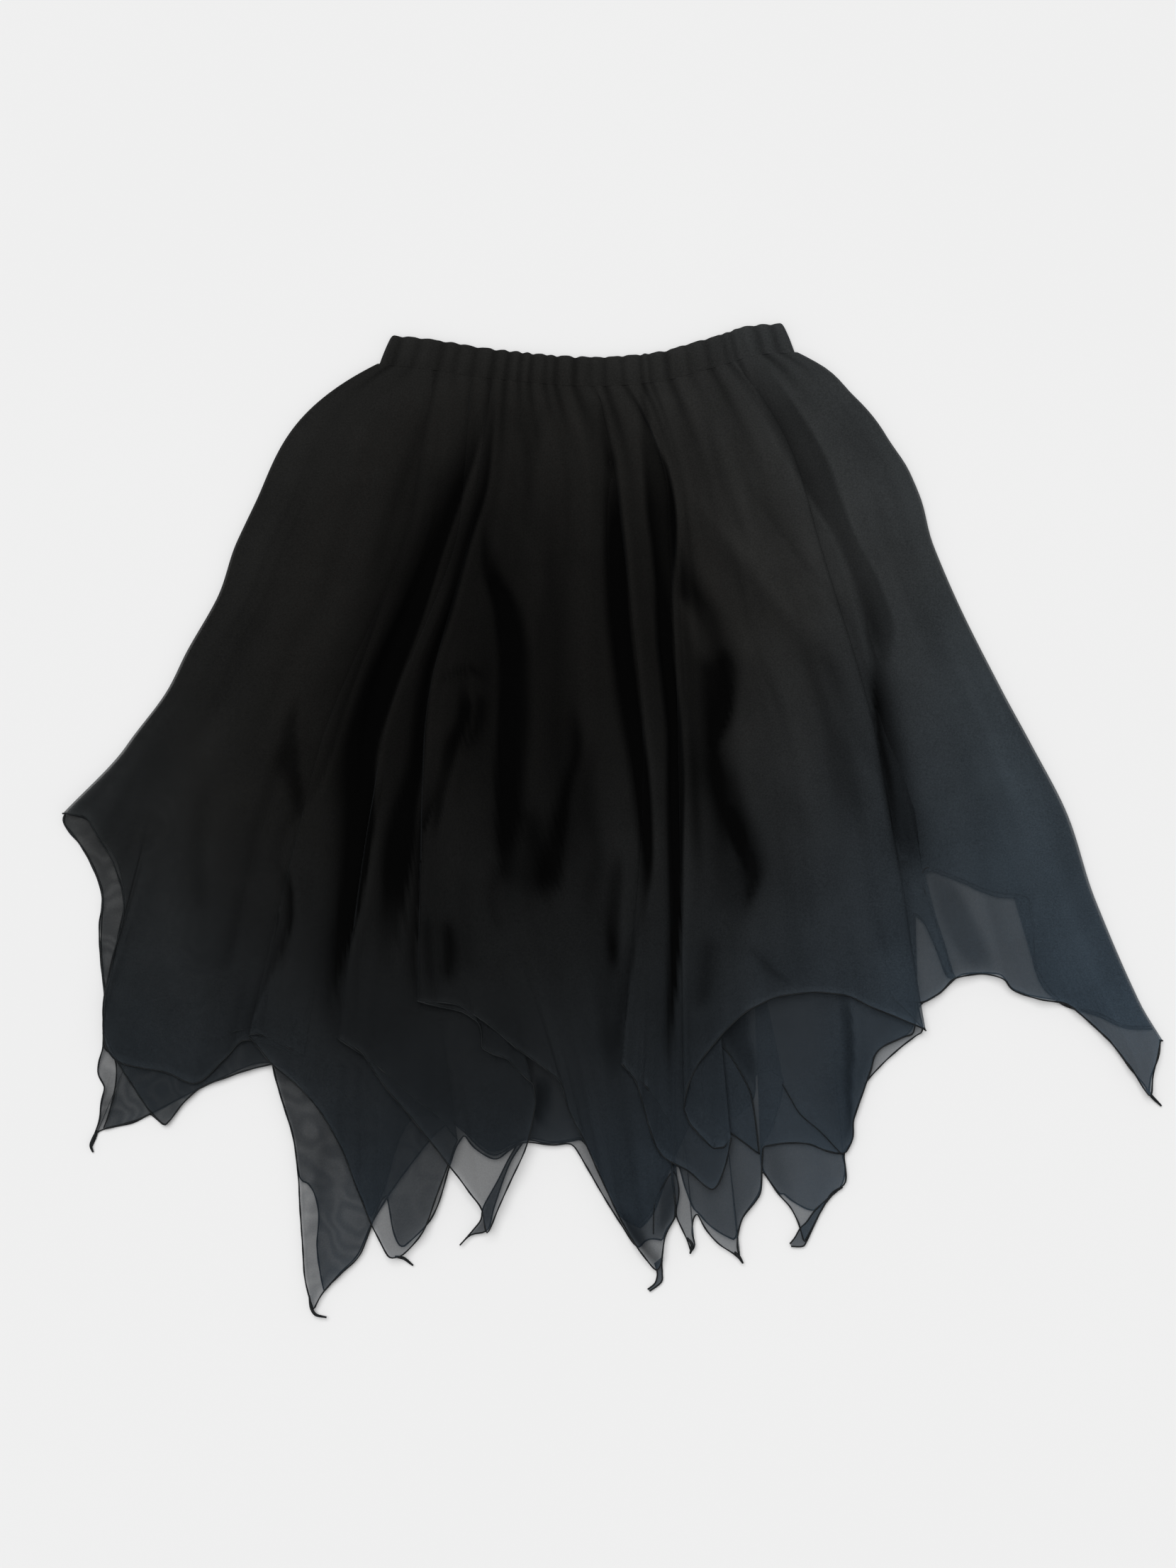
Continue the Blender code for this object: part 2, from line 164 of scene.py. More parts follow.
def refine(columns, steps):
    # Catmull-Rom curve through neighbouring columns of points, with so many steps between each two.
    padded = np.concatenate([columns[:1], columns, columns[-1:]])
    a, b, c, d = padded[:-3], padded[1:-2], padded[2:-1], padded[3:]
    t = (np.arange(steps) / steps)[None, :, None, None]
    a, b, c, d = (x[:, None] for x in (a, b, c, d))
    path = 0.5 * (2 * b + (c - a) * t + (2 * a - 5 * b + 4 * c - d) * t**2 + (3 * b - a - 3 * c + d) * t**3)
    return np.concatenate([path.reshape(-1, *columns.shape[1:]), columns[-1:]])


def gridFaces(columns, rows, flip=False):
    # One four-cornered face for each cell of the grid.
    index = np.arange(columns * rows).reshape(columns, rows)
    cells = np.stack([index[:-1, :-1], index[:-1, 1:], index[1:, 1:], index[1:, :-1]], axis=-1).reshape(-1, 4)
    return cells[:, ::-1] if flip else cells


def addMesh(name, points, faces, material, attributes=None):
    # A smooth-shaded object of those points and faces, with its attributes on the points.
    mesh = bpy.data.meshes.new(name)
    mesh.from_pydata(points.reshape(-1, 3), [], faces)
    for key, values in (attributes or {}).items():
        layer = mesh.attributes.new(key, "FLOAT", "POINT")
        layer.data.foreach_set("value", np.ravel(values).astype(np.float32))
    mesh.materials.append(material)
    mesh.shade_smooth()
    piece = bpy.data.objects.new(name, mesh)
    bpy.context.scene.collection.objects.link(piece)
    return piece


# The laid folds, along paths of (across, drop, half width) places. Rise is in millimetres, down for a
# trough; tone is how much darker (below 0) or lighter the cloth looks along it. Before and after are how
# widely each side fades out: a small one is the edge of a pleat.
# A fold's tone is painted shade where it is below 0 and painted highlight where it is above, drawn into the
# colour.
foldColumns = ("rise", "tone", "before", "after", "path")
folds = (
    (-2.5, -0.93, 30, 4, ((-84, 42, 4), (-89, 61, 5), (-103, 96, 8), (-124, 149, 10), (-145, 207, 13),
        (-168, 264, 15), (-181, 314, 15), (-183, 371, 13), (-188, 421, 11), (-197, 462, 8), (-204, 500, 4))),
    (-1.5, -0.90, 13, 4, ((-76, 46, 2), (-81, 96, 2.5), (-97, 146, 4), (-111, 199, 4), (-126, 245, 4),
        (-131, 276, 5), (-135, 314, 6), (-144, 352, 9), (-149, 386, 11), (-154, 429, 10), (-158, 462, 6))),
    (-3.0, -0.93, 6, 12, ((-82, 134, 2), (-77, 165, 6), (-64, 199, 10), (-59, 237, 12), (-59, 276, 12),
        (-62, 314, 12), (-63, 352, 10), (-66, 383, 6), (-63, 409, 4))),
    (-0.4, -0.55, 6, 6, ((-116, 250, 2), (-101, 244, 3), (-88, 243, 3), (-76, 247, 2))),
    (-1.0, -0.80, 7, 3, ((-98, 256, 3), (-97, 275, 5), (-107, 300, 5.5), (-114, 330, 4), (-121, 368, 2.5))),
    (-0.6, -0.55, 10, 10, ((-84, 262, 3), (-88, 285, 5), (-99, 305, 4))),
    (0.8, 0.22, 9, 9, ((-104, 225, 3), (-112, 262, 3), (-121, 300, 2))),
    (-1.2, -0.65, 12, 9, ((-13, 272, 3), (-10, 302, 4), (-17, 329, 4), (-24, 360, 6), (-30, 394, 9),
        (-35, 425, 5))),
    (-0.8, -0.45, 14, 14, ((-47, 350, 6), (-42, 394, 8), (-44, 420, 5))),
    (-3.5, -0.93, 9, 4, ((16, 84, 4), (18, 123, 6), (20, 161, 8), (22, 199, 8.5), (27, 245, 8.5),
        (32, 283, 8), (38, 321, 7), (42, 360, 5.5), (44, 394, 4), (41, 429, 2))),
    (-0.8, -0.40, 6, 6, ((9, 35, 2), (12, 61, 3), (17, 88, 4))),
    (-3.5, -0.95, 6, 3, ((41, 35, 2), (44, 61, 4), (51, 88, 9), (55, 119, 11), (57, 149, 9), (57, 184, 6),
        (58, 218, 6), (61, 253, 5), (65, 291, 5), (66, 333, 6), (66, 383, 5.5), (66, 429, 5), (64, 482, 4),
        (61, 530, 3), (62, 560, 1.5))),
    (-1.6, -0.70, 24, 18, ((66, 149, 4), (80, 180, 8), (94, 205, 9), (99, 236, 13), (98, 268, 13),
        (94, 295, 9), (103, 330, 11), (116, 365, 12), (124, 392, 12), (119, 418, 8), (113, 448, 5))),
    (-0.8, -0.45, 10, 10, ((104, 226, 4), (108, 250, 6), (104, 280, 5), (96, 300, 4))),
    (-0.8, -0.50, 8, 12, ((107, 350, 3), (117, 380, 5), (127, 405, 4), (121, 430, 3))),
    (-0.5, -0.40, 20, 8, ((66, 160, 4), (70, 210, 6), (72, 260, 7), (76, 310, 6), (80, 360, 5),
        (84, 410, 3))),
    (1.0, 0.35, 12, 12, ((69, 188, 4), (83, 214, 6), (90, 237, 4))),
    (-1.0, -0.52, 14, 14, ((92, 448, 5), (90, 475, 7), (86, 505, 5))),
    (-0.8, -0.45, 8, 8, ((123, 455, 3), (136, 471, 4), (153, 486, 3))),
    (-1.2, -0.22, 10, 18, ((217, 168, 9), (226, 207, 10), (227, 245, 9), (230, 287, 11), (238, 333, 12),
        (245, 375, 12), (255, 409, 10))),
    (-1.0, -0.48, 5, 4, ((132, 10, 7), (148, 40, 13), (165, 72, 15), (181, 106, 12), (198, 140, 8),
        (214, 175, 10), (224, 209, 11), (226, 240, 5))),
    (0.5, 0.25, 4, 4, ((118, 25, 1.5), (143, 66, 1.5), (163, 104, 1.5), (187, 138, 1.5), (200, 175, 1.5),
        (209, 209, 1.5), (216, 240, 1.5))),
    (-0.8, -0.45, 4, 26, ((222, 240, 4), (228, 277, 7), (236, 320, 11), (246, 360, 13), (256, 400, 9))),
    (-0.5, -0.32, 4, 8, ((217, 246, 1.5), (223, 287, 2), (231, 326, 2.5), (238, 376, 2.5), (245, 409, 2),
        (250, 463, 1.5))),
    (-0.3, -0.20, 10, 10, ((272, 402, 6), (282, 428, 12), (292, 450, 13), (304, 474, 8))),
    (-1.2, -0.60, 12, 6, ((-228, 264, 3), (-234, 291, 6), (-234, 314, 8), (-229, 337, 6), (-228, 356, 3))),
    (-1.0, -0.45, 12, 3.5, ((-235, 398, 3), (-232, 429, 3), (-236, 455, 3), (-243, 478, 2))),
    (-0.8, -0.18, 16, 16, ((-160, 38, 4), (-168, 61, 5), (-175, 85, 4))),
    (-0.8, -0.22, 12, 12, ((-59, 42, 2), (-47, 84, 4), (-48, 115, 3))),
    (-0.6, -0.25, 8, 8, ((-32, 35, 2), (-40, 54, 3), (-42, 75, 2))),
    (-0.8, -0.35, 16, 2, ((-160, 179, 3), (-176, 226, 3), (-191, 268, 3), (-206, 314, 3), (-216, 338, 3),
        (-228, 354, 3), (-238, 366, 3), (-244, 391, 2))),
    (-0.8, -0.55, 12, 1.5, ((-244, 391, 2), (-235, 405, 3), (-233.5, 420, 3), (-234, 436, 3), (-242, 460, 3),
        (-253, 486, 2.5), (-263, 511, 2), (-267, 528, 1.5))),
    (-0.8, -0.72, 32, 1.5, ((-162, 330, 2), (-170, 366, 3), (-180, 413, 4), (-189, 456, 4), (-195, 490, 3),
        (-197, 511, 2), (-197, 530, 1.5))),
    (-0.8, -0.75, 14, 1.5, ((-119, 335, 2), (-133, 379, 3), (-135, 426, 3), (-137, 464, 3), (-136, 498, 2))),
    (-0.8, -0.50, 14, 1.5, ((36, 440, 2), (31, 465, 3), (25, 499, 4), (21, 530, 3), (21, 548, 2))),
    (-0.6, -0.50, 40, 24, ((90, 130, 4), (140, 195, 10), (180, 250, 16), (194, 300, 16), (202, 360, 8))),
    (-0.6, -0.38, 30, 30, ((80, 300, 6), (92, 350, 10), (98, 400, 10), (95, 440, 6))),
    (-0.5, -0.25, 35, 35, ((-262, 200, 6), (-268, 270, 8), (-276, 330, 6))),
    (-0.5, -0.28, 26, 26, ((-30, 150, 6), (-25, 230, 10), (-20, 320, 8), (-15, 380, 6))),
    (-0.8, -0.62, 10, 5, ((22, 385, 3), (20, 410, 5), (18, 440, 5), (18, 475, 4))),
    (-0.6, -0.35, 12, 12, ((2, 300, 3), (-2, 340, 5), (4, 385, 5), (-2, 430, 4))),
    (-0.6, -0.40, 9, 9, ((-22, 350, 3), (-27, 385, 4), (-24, 415, 4))),
    (-0.8, -0.50, 6, 10, ((-70, 392, 4), (-76, 418, 5), (-70, 446, 3))),
    (-0.6, -0.35, 12, 12, ((-240, 300, 3), (-250, 335, 5), (-262, 375, 5), (-268, 410, 4))),
    (-0.6, -0.30, 16, 10, ((-300, 330, 4), (-306, 380, 6), (-302, 430, 4))),
    (0.6, 0.15, 16, 16, ((-330, 380, 4), (-326, 440, 6), (-318, 500, 4))),
    (-0.5, -0.35, 14, 6, ((-270, 410, 3), (-276, 440, 4), (-284, 475, 3))),
    (0.6, 0.18, 6, 12, ((-222, 430, 3), (-228, 460, 4), (-236, 490, 3))),
    (-0.5, -0.30, 9, 9, ((130, 230, 3), (148, 280, 4), (160, 330, 4), (176, 390, 3))),
    (0.6, 0.16, 7, 7, ((118, 210, 3), (137, 258, 3), (154, 310, 3), (168, 360, 3))),
    (-0.6, -0.35, 10, 10, ((205, 330, 3), (214, 380, 4), (222, 430, 4), (230, 470, 3))),
    (0.6, 0.15, 10, 10, ((-60, 60, 3), (-64, 110, 4), (-40, 160, 4), (-32, 230, 4), (-38, 300, 3))),
    (-0.5, -0.30, 8, 8, ((90, 40, 2), (97, 75, 4), (108, 110, 4), (122, 145, 3))),
    (-0.5, -0.28, 10, 10, ((-128, 45, 2), (-142, 85, 4), (-158, 130, 4), (-170, 170, 3))),
    (-0.5, -0.30, 4, 22, ((120, 97, 1.5), (165, 160, 2), (205, 215, 2), (222, 280, 2))),
    (0.8, 0.22, 12, 12, ((74, 97, 3), (120, 154, 5), (165, 217, 5), (209, 313, 5), (228, 352, 4))),
    (0.6, 0.18, 9, 9, ((-160, 300, 3), (-172, 340, 4), (-180, 400, 4), (-190, 450, 3))),
    (0.6, 0.16, 14, 14, ((-118, 300, 3), (-108, 360, 6), (-104, 420, 6))),
    (-0.7, -0.75, 10, 12, ((-110, 436, 4), (-108, 460, 6), (-110, 484, 4))),
    (-0.4, -0.50, 8, 8, ((118, 508, 6), (113, 524, 9), (121, 544, 7), (126, 560, 3))),
    (-0.4, -0.50, 7, 1.5, ((197, 496, 3.5), (200, 520, 4), (201, 545, 3.5), (200, 565, 3), (201, 590, 2),
        (197, 606, 1))),
    (-0.4, -0.50, 1.5, 10, ((-36, 558, 5), (-37, 575, 5), (-41, 594, 3))),
    (-0.2, -0.60, 10, 10, ((22, 664, 5), (34, 683, 8), (44, 697, 9), (51, 708, 5))),
    (-0.2, -0.35, 6, 6, ((61, 636, 3), (59, 655, 5), (57, 678, 5))),
    (-0.2, -0.38, 8, 8, ((-380, 560, 5), (-378, 578, 5), (-384, 602, 4))),
    (1.2, 0.12, 14, 14, ((-200, 150, 5), (-222, 220, 5), (-246, 300, 5))),
    (1.0, 0.10, 14, 14, ((-20, 120, 4), (-14, 200, 4), (-10, 290, 4))),
    (1.2, 0.14, 12, 12, ((120, 190, 4), (142, 270, 4), (158, 350, 4), (170, 430, 4))),
    (-1.0, -0.25, 14, 14, ((150, 330, 4), (164, 380, 4), (172, 440, 4))),
    (-1.2, -0.35, 10, 10, ((-128, 432, 4), (-124, 470, 4), (-121, 492, 3))),
    (-0.8, -0.28, 10, 10, ((-100, 395, 4), (-96, 440, 4), (-92, 480, 3))),
    (-1.0, -0.30, 14, 10, ((8, 420, 4), (14, 470, 5), (12, 520, 4), (20, 560, 3))),
)

# Valleys of the gathers along the waist, in millimetres: where, how deep, how wide, and how far down.
gatherColumns = ("across", "depth", "width", "reach")
gathers = (
    (-146, 0.9, 2.6, 20), (-132, 0.5, 2.5, 14), (-114, 1.1, 3.0, 34), (-101, 0.5, 2.4, 18),
    (-88, 0.7, 2.6, 40), (-74, 1.3, 2.8, 46), (-63, 1.2, 2.4, 60), (-53, 1.0, 2.2, 30),
    (-45, 1.2, 2.2, 36), (-34, 1.1, 2.4, 26), (-26, 1.2, 2.2, 42), (-12, 1.3, 2.8, 34),
    (1, 0.7, 2.4, 30), (11, 1.3, 2.6, 54), (25, 1.2, 2.6, 44), (39, 1.2, 2.2, 30),
    (45, 1.0, 2.0, 40), (59, 1.3, 3.0, 46), (74, 0.7, 2.6, 24), (89, 1.2, 3.0, 50),
    (102, 1.1, 2.2, 34), (109, 1.0, 2.2, 46), (128, 1.2, 3.0, 30), (140, 0.9, 2.6, 18),
)


# How folds and the stack of layers shape and shade the cloth, in millimetres and shares of a length.
drape = {
    "fadePast": 0.10,  # how far past its path's ends a fold goes, and over how much of the path it fades
    "fadeLength": 0.28,
    # Painted shade in a faint bell around each fold, and a painted highlight along a pleat's rim.
    "paintedHaloShade": 0.22,
    "haloReach": (2.2, 12),  # so many half widths, and so much more
    "pleatAfter": 6,  # a fold fading over less than this, after or before it, is a pleat with a painted highlight at its rim
    "pleatBefore": 3,
    "paintedRimLight": 0.22,
    "rimOffset": 3.0,
    "rimWidth": 2.6,
    "deepestTone": -0.96,
    "layWaves": (47, 90, 61, 130),
    "layBend": 1.3,
    "settleBelow": 30,  # distance below the casing by which folds have their whole rise
    "gatherLift": 0.4,
    # Painted shade in the gathers' valleys below the casing.
    "paintedGatherShading": 0.36,
    "hemStart": 0.78,  # share of a rib where the hem's flutter starts
    "flutterWander": (1.7, 57),
    "clearance": (0.25, 0.1),  # least level, and so much more for each millimetre of a ply's own level
    "hemHighlightWidth": 3.5,
    "hemHighlightTones": (0.2, 0.35),  # painted highlight along the rolled hem: on every layer, and more with the fold share
    "toneLimits": (0.04, 2.0),
}


def foldField(across, drop):
    # Sum over the folds of a level band between its half widths, S((o + w) / before) * S((w - o) / after)
    # with the smooth step S and the offset o across the path, fading in and out along it. The tone is painted
    # shade in a trough and painted highlight on a ridge; around each lies a faint painted bell of the same
    # tone, and beside a pleat's edge a painted highlight rim.
    rise, tone = np.zeros(np.shape(across)), np.zeros(np.shape(across))
    past, length = drape["fadePast"], drape["fadeLength"]
    widths, more = drape["haloReach"]
    for row in folds:
        fold = dict(zip(foldColumns, row))
        places = np.array(fold["path"], float)
        lengthwise = np.ptp(places[:, 1]) > np.ptp(places[:, 0])
        along, beside = (drop, across) if lengthwise else (across, drop)
        knots, middles = (places[:, 1], places[:, 0]) if lengthwise else (places[:, 0], places[:, 1])
        held = np.clip(np.ravel(along), knots[0], knots[-1])
        offset = beside - smoothCurve(held, knots, middles).reshape(np.shape(across))
        width = smoothCurve(held, knots, places[:, 2]).reshape(np.shape(across))
        share = (along - knots[0]) / (knots[-1] - knots[0])
        fade = smoothStep((share + past) / length) * smoothStep((1 + past - share) / length)
        opening = smoothStep((offset + width) / fold["before"] + 0.5)
        closing = smoothStep((width - offset) / fold["after"] + 0.5)
        band = opening * closing * fade
        # A faint bell of painted shade around the fold, or of painted highlight for a lighter fold.
        halo = drape["paintedHaloShade"] * np.exp(-((offset / (widths * width + more)) ** 2)) * fade
        # A painted highlight along the rim beside a pleat's edge.
        pleatRight, pleatLeft = fold["after"] < drape["pleatAfter"], fold["before"] < drape["pleatBefore"]
        if pleatRight or pleatLeft:
            edge = width if pleatRight else -width
            beyond = offset - edge - np.sign(edge) * drape["rimOffset"]
            rim = np.exp(-((beyond / drape["rimWidth"]) ** 2)) * fade
            tone = tone + drape["paintedRimLight"] * abs(fold["tone"]) * rim
        rise, tone = rise + fold["rise"] * band, tone + fold["tone"] * (band + halo * (1 - band))
    return rise, np.maximum(tone, drape["deepestTone"])


def gatherField(across, down):
    # Sum of the gathers' valleys, each -depth * exp(-(offset / width)^2) * exp(-(down / reach)^2).
    total = np.zeros(np.broadcast(across, down).shape)
    for row in gathers:
        gather = dict(zip(gatherColumns, row))
        bell = np.exp(-(((across - gather["across"]) / gather["width"]) ** 2))
        total = total - gather["depth"] * bell * np.exp(-((np.maximum(down, 0) / gather["reach"]) ** 2))
    return total


def layOf(across, drop):
    # How the stack of layers undulates, 0 to 2 mm: a product of slow waves, the same for every layer.
    first, bend, second, slant = drape["layWaves"]
    bent = np.sin(across / first + drape["layBend"] * np.sin(drop / bend))
    return 1.0 + bent * np.sin(drop / second + across / slant)


# The front overlay's ribs, flap by flap along the cloth, which goes back where a pleat laps. Places in
# millimetres at the waist, hip, knee and hem; ply is how many plies lie under, lift how high the fold is.
ribColumns = ("waist", "hip", "knee", "hem", "drop", "ply", "hemPly", "lift")
leftPanel = (
    (-156, -256, -358, -407.5, 353.5, 0, 0, 0),
    (-153.5, -250, -350, -393, 356, 0, 0, 0),
    (-151, -244, -342, -380, 375, 0, 0, 1),
    (-148.5, -238, -334, -368, 397, 0, 0, 2),
    (-146, -233, -327, -361.5, 428, 0, 0, 2),
    (-144, -228, -321, -368, 456, 0, 0, 1),
    (-142, -223, -315, -373, 475, 0, 0, 1),
    (-140, -218, -308, -378, 506, 0, 0, 0),
    (-138, -212, -301, -378, 524, 0, 0, 0),
    (-135, -204, -289, -367, 546, 0, 0, 2),
    (-132, -192, -270, -331, 554, 0, 0, 4),
    (-129, -178, -252, -307, 563, 0, 0, 1),
    (-126, -163, -232, -283, 543, 0, 0, 3),
    (-122, -142, -211, -266, 529, 0, 0, 0),
    (-118, -121, -183, -222, 542, 0, 0, 0),
)
firstPoint = (
    (-114, -135, -208, -265, 525, 2, 2, 2),
    (-111, -131, -201, -248, 546, 2, 2, 4),
    (-108, -127, -191, -218, 573, 2, 2, 5),
    (-105, -121, -182, -195, 609, 2, 1, 4),
    (-102, -117, -175, -179, 650, 2, 0, 1),
    (-100, -114, -169, -168, 676, 2, 0, 0),
    (-98, -112, -165, -155, 698, 2, 0, 0),
    (-97, -110, -162, -148, 697, 2, 0, 0),
    (-95, -106, -158, -130, 678, 2, 0, 0),
    (-93, -100, -150, -119, 649, 2, 1, 0),
    (-91, -93, -139, -103, 606, 2, 2, 0),
)
secondPoint = (
    (-88, -98, -161, -196, 527, 4, 4, 2),
    (-87, -95, -156, -178, 537, 4, 4, 3),
    (-86, -92, -150, -164, 558, 4, 4, 4),
    (-84, -88, -141, -131, 598, 4, 4, 3),
    (-82.5, -86, -135, -97, 642, 4, 3, 1),
    (-81, -84, -131, -84, 661, 4, 2, 0),
    (-80, -83, -128, -80, 678, 4, 2, 0),
    (-79, -82, -125, -70, 656, 4, 2, 0),
    (-78, -81, -122, -60, 634, 4, 3, 0),
    (-77, -79, -117, -49, 609, 4, 4, 0),
    (-75, -76, -109, -42, 576, 4, 4, 0),
)
thirdPoint = (
    (-72, -87, -129, -134, 498, 6, 6, 3),
    (-70, -83, -122, -108, 500, 6, 6, 4),
    (-68, -79, -115, -88, 510, 6, 6, 4),
    (-66, -75, -108, -58, 534, 6, 6, 3),
    (-63, -70, -101, -23, 562, 6, 6, 1),
    (-58, -60, -85, -17, 582, 5, 5, 0),
    (-51, -48, -67, -5, 606, 4, 4, 4),
    (-43, -36, -47, 11, 642, 3, 2, 6),
    (-35, -23, -26, 27, 675, 2, 1, 1),
    (-29, -14, -14, 40, 695, 0.5, 0.5, 1),
    (-24, -6, -4, 51, 708, 0, 0, 2),
    (-20, -1, 5, 54.5, 704, 0, 0, 4),
    (-16, 4, 14, 57.5, 683, 0, 0, 3),
    (-12, 12, 28, 65.5, 666, 0, 0, 2),
    (-9, 20, 40, 65.8, 656, 0, 0, 0),
    (-5, 30, 52, 63, 632, 0, 0, 0),
    (-1, 40, 64, 66, 608, 0, 0, 0),
)
fourthPoint = (
    (5, 23, 42, 24, 547, 2, 2, 2),
    (8, 27, 46, 36, 563, 2, 2, 3),
    (10, 31, 50, 41.5, 582, 2, 2, 3),
    (13, 36, 55, 54, 617, 2, 2, 2),
    (16, 42, 61, 75, 630, 2, 2, 0),
    (19, 49, 69, 94, 644.5, 2, 2, 0),
    (22, 57, 76, 104, 628, 2, 2, 0),
    (24, 62, 80, 109, 604, 2, 2, 0),
)
centreArch = (
    (29, 60, 69, 72, 582, 4, 4, 2),
    (32, 62, 72, 75, 566, 4, 4, 4),
    (35, 64, 76, 83, 548, 4, 4, 6),
    (39, 67, 82, 97, 530, 4, 4, 5),
    (43, 71, 90, 113, 513, 4, 4, 3),
    (48, 75, 100, 127, 503, 4, 4, 0),
    (56, 85, 117, 147, 495, 3, 3, 5),
    (65, 97, 136, 174, 492, 2, 2, 6),
    (75, 110, 155, 196, 494, 2, 2, 3),
    (85, 125, 177, 219, 504, 2, 2, 5),
    (95, 142, 199, 239, 512, 2, 2, 4),
    (104, 166, 221, 258, 520, 2, 2, 2),
)
rightPanel = (
    (109, 151, 205, 236, 497, 0, 0, 0),
    (112, 162, 220, 256, 500, 0, 0, 0),
    (115, 172, 236, 272, 493, 0, 0, 2),
    (118, 181, 250, 285, 481, 0, 0, 0),
    (121, 190, 263, 306, 478, 0, 0, 3),
    (124, 197, 273, 323, 482, 0, 0, 5),
    (127, 205, 282, 330, 490, 0, 0, 4),
    (130, 212, 291, 353, 498, 0, 0, 2),
    (133, 218, 299, 372, 501, 0, 0, 1),
    (136, 224, 306, 384, 510, 0, 0, 0),
    (139, 230, 313, 403, 530, 0, 0, 1),
    (142, 236, 320, 420, 552, 0, 0, 1),
    (145, 242, 327, 434, 573, 0, 0, 0),
    (148, 248, 334, 437, 555, 0, 0, 0),
    (151, 254, 341, 442.5, 530, 0, 0, 0),
)
overlay = {
    "flaps": (leftPanel, firstPoint, secondPoint, thirdPoint, fourthPoint, centreArch, rightPanel),
    "ribSteps": 5,  # columns of mesh between two listed ribs
    "rows": 92,
    "rowPower": 1.12,  # above 1, rows lie closer together near the waist
    "riseEnd": 20.0,
    "liftEnd": 0.75,
    "settleFrom": 0.8,  # share of a rib from which its plies go from those at the waist to those at the hem
    "fullLap": 4.0,
    "turnReach": 1.0,
    "turnShares": (0, 0.2, 0.4, 0.6, 0.8, 1),
    "turnSteps": 6,
    "hemPull": 6,
    "sideSteps": 7,
    "turnHems": {  # the hem of the ply that goes back before each flap, by the flap's number
        1: ((-236, 534), (-258, 524)),
        2: ((-118, 588), (-146, 566), (-170, 544)),
        3: ((-44, 563), (-57, 552), (-64, 543), (-77, 539), (-84, 535), (-84, 523), (-86, 515), (-98, 507),
            (-123, 501)),
        4: ((60, 590), (44, 566)),
        5: ((104, 612), (95, 613), (86, 604), (77, 594)),
    },
    "layer": 3,
    "flutter": 1.3,
    "flutterLength": 33.0,
    "flat": (1.06, 0.74),
    "area": 0.56,
}


def flapColumns(flap, height):
    # One column of points for each rib: across, drop, level and place at the waist. The level rises by a ply
    # pitch for each ply below, plus lift * sin(pi * s)^2 over the first part of the rib.
    table = np.array(flap, float)
    steps = np.arange(len(table))
    fine = np.linspace(0, len(table) - 1, (len(table) - 1) * overlay["ribSteps"] + 1)
    rib = {name: smoothCurve(fine, steps, column)[0] for name, column in zip(ribColumns, table.T)}
    rows = np.linspace(0, 1, overlay["rows"]) ** overlay["rowPower"]
    downs, across, drops = ribLines(rib["waist"], rib["hip"], rib["knee"], rib["hem"], rib["drop"], rows)
    risen = smoothStep(downs / overlay["riseEnd"])
    stands = np.sin(math.pi * np.clip(rows / overlay["liftEnd"], 0, 1)) ** 2
    settle = smoothStep((rows - overlay["settleFrom"]) / (1 - overlay["settleFrom"]))
    plies = rib["ply"][:, None] + (rib["hemPly"] - rib["ply"])[:, None] * settle
    level = height + plies * skirt["plyPitch"] * risen + rib["lift"][:, None] * stands
    return np.stack([across, drops, level, np.repeat(rib["waist"][:, None], len(rows), axis=1)], axis=-1)


def turnColumns(last, first, step, hemPath):
    # The ply that goes back between two flaps, with a round turn at each end. Where the flaps don't lap yet
    # it is a straight ramp between them: ramp + lap * (folded - ramp). Its hem is drawn to hemPath, by a high
    # power of the share down it.
    lap = np.clip((last[:, :1] - first[:, :1]) / overlay["fullLap"], 0, 1)
    rise = np.array([0, 0, step * skirt["plyPitch"], 0])
    reach = np.array([overlay["turnReach"], 0, 0, 0])
    folded = (last, last + rise / 2 + reach, last + rise, first - rise, first - rise / 2 - reach, first)
    ramp = [last + share * (first - last) for share in overlay["turnShares"]]
    coarse = np.stack([plain + lap * (turned - plain) for plain, turned in zip(ramp, folded)])
    columns = refine(coarse, overlay["turnSteps"])[1:-1]
    if hemPath:
        path = np.concatenate([last[-1:, :2], np.array(hemPath, float), first[-1:, :2]])
        arc = np.concatenate([[0], np.cumsum(np.hypot(*np.diff(path, axis=0).T))])
        places = np.linspace(0, arc[-1], len(columns) + 2)[1:-1]
        wanted = np.stack([np.interp(places, arc, column) for column in path.T], axis=1)
        pull = np.linspace(0, 1, columns.shape[1])[None, :, None] ** overlay["hemPull"]
        columns[:, :, :2] += (wanted[:, None] - columns[:, -1:, :2]) * pull
    return columns


def sideTurn(edge, radius, side):
    # Half round from the edge of an upper layer down to the layer below: x + r sin(a), z - r(1 - cos(a)).
    angle = np.linspace(0, math.pi, overlay["sideSteps"])[1:, None]
    points = np.repeat(edge[None], len(angle), axis=0)
    points[:, :, 0] += side * radius * np.sin(angle)
    points[:, :, 2] -= radius * (1 - np.cos(angle))
    return points if side > 0 else points[::-1]


def overlayFrontGrid():
    # The flaps' columns and the turns between them, side by side, with a half round at each side seam.
    height = overlay["layer"] * skirt["layerPitch"] + skirt["wall"] / 2
    strips = []
    ply = ribColumns.index("ply")
    for number, flap in enumerate(overlay["flaps"]):
        columns = flapColumns(flap, height)
        if number:
            step = np.sign(flap[0][ply] - overlay["flaps"][number - 1][-1][ply])
            hemPath = overlay["turnHems"].get(number)
            strips.append(turnColumns(strips[-1][-1], columns[0], step, hemPath))
        strips.append(columns)
    radius = overlay["layer"] * skirt["layerPitch"] / 2
    strips.insert(0, sideTurn(strips[0][0], radius, -1))
    strips.append(sideTurn(strips[-1][-1], radius, 1))
    return np.concatenate(strips)


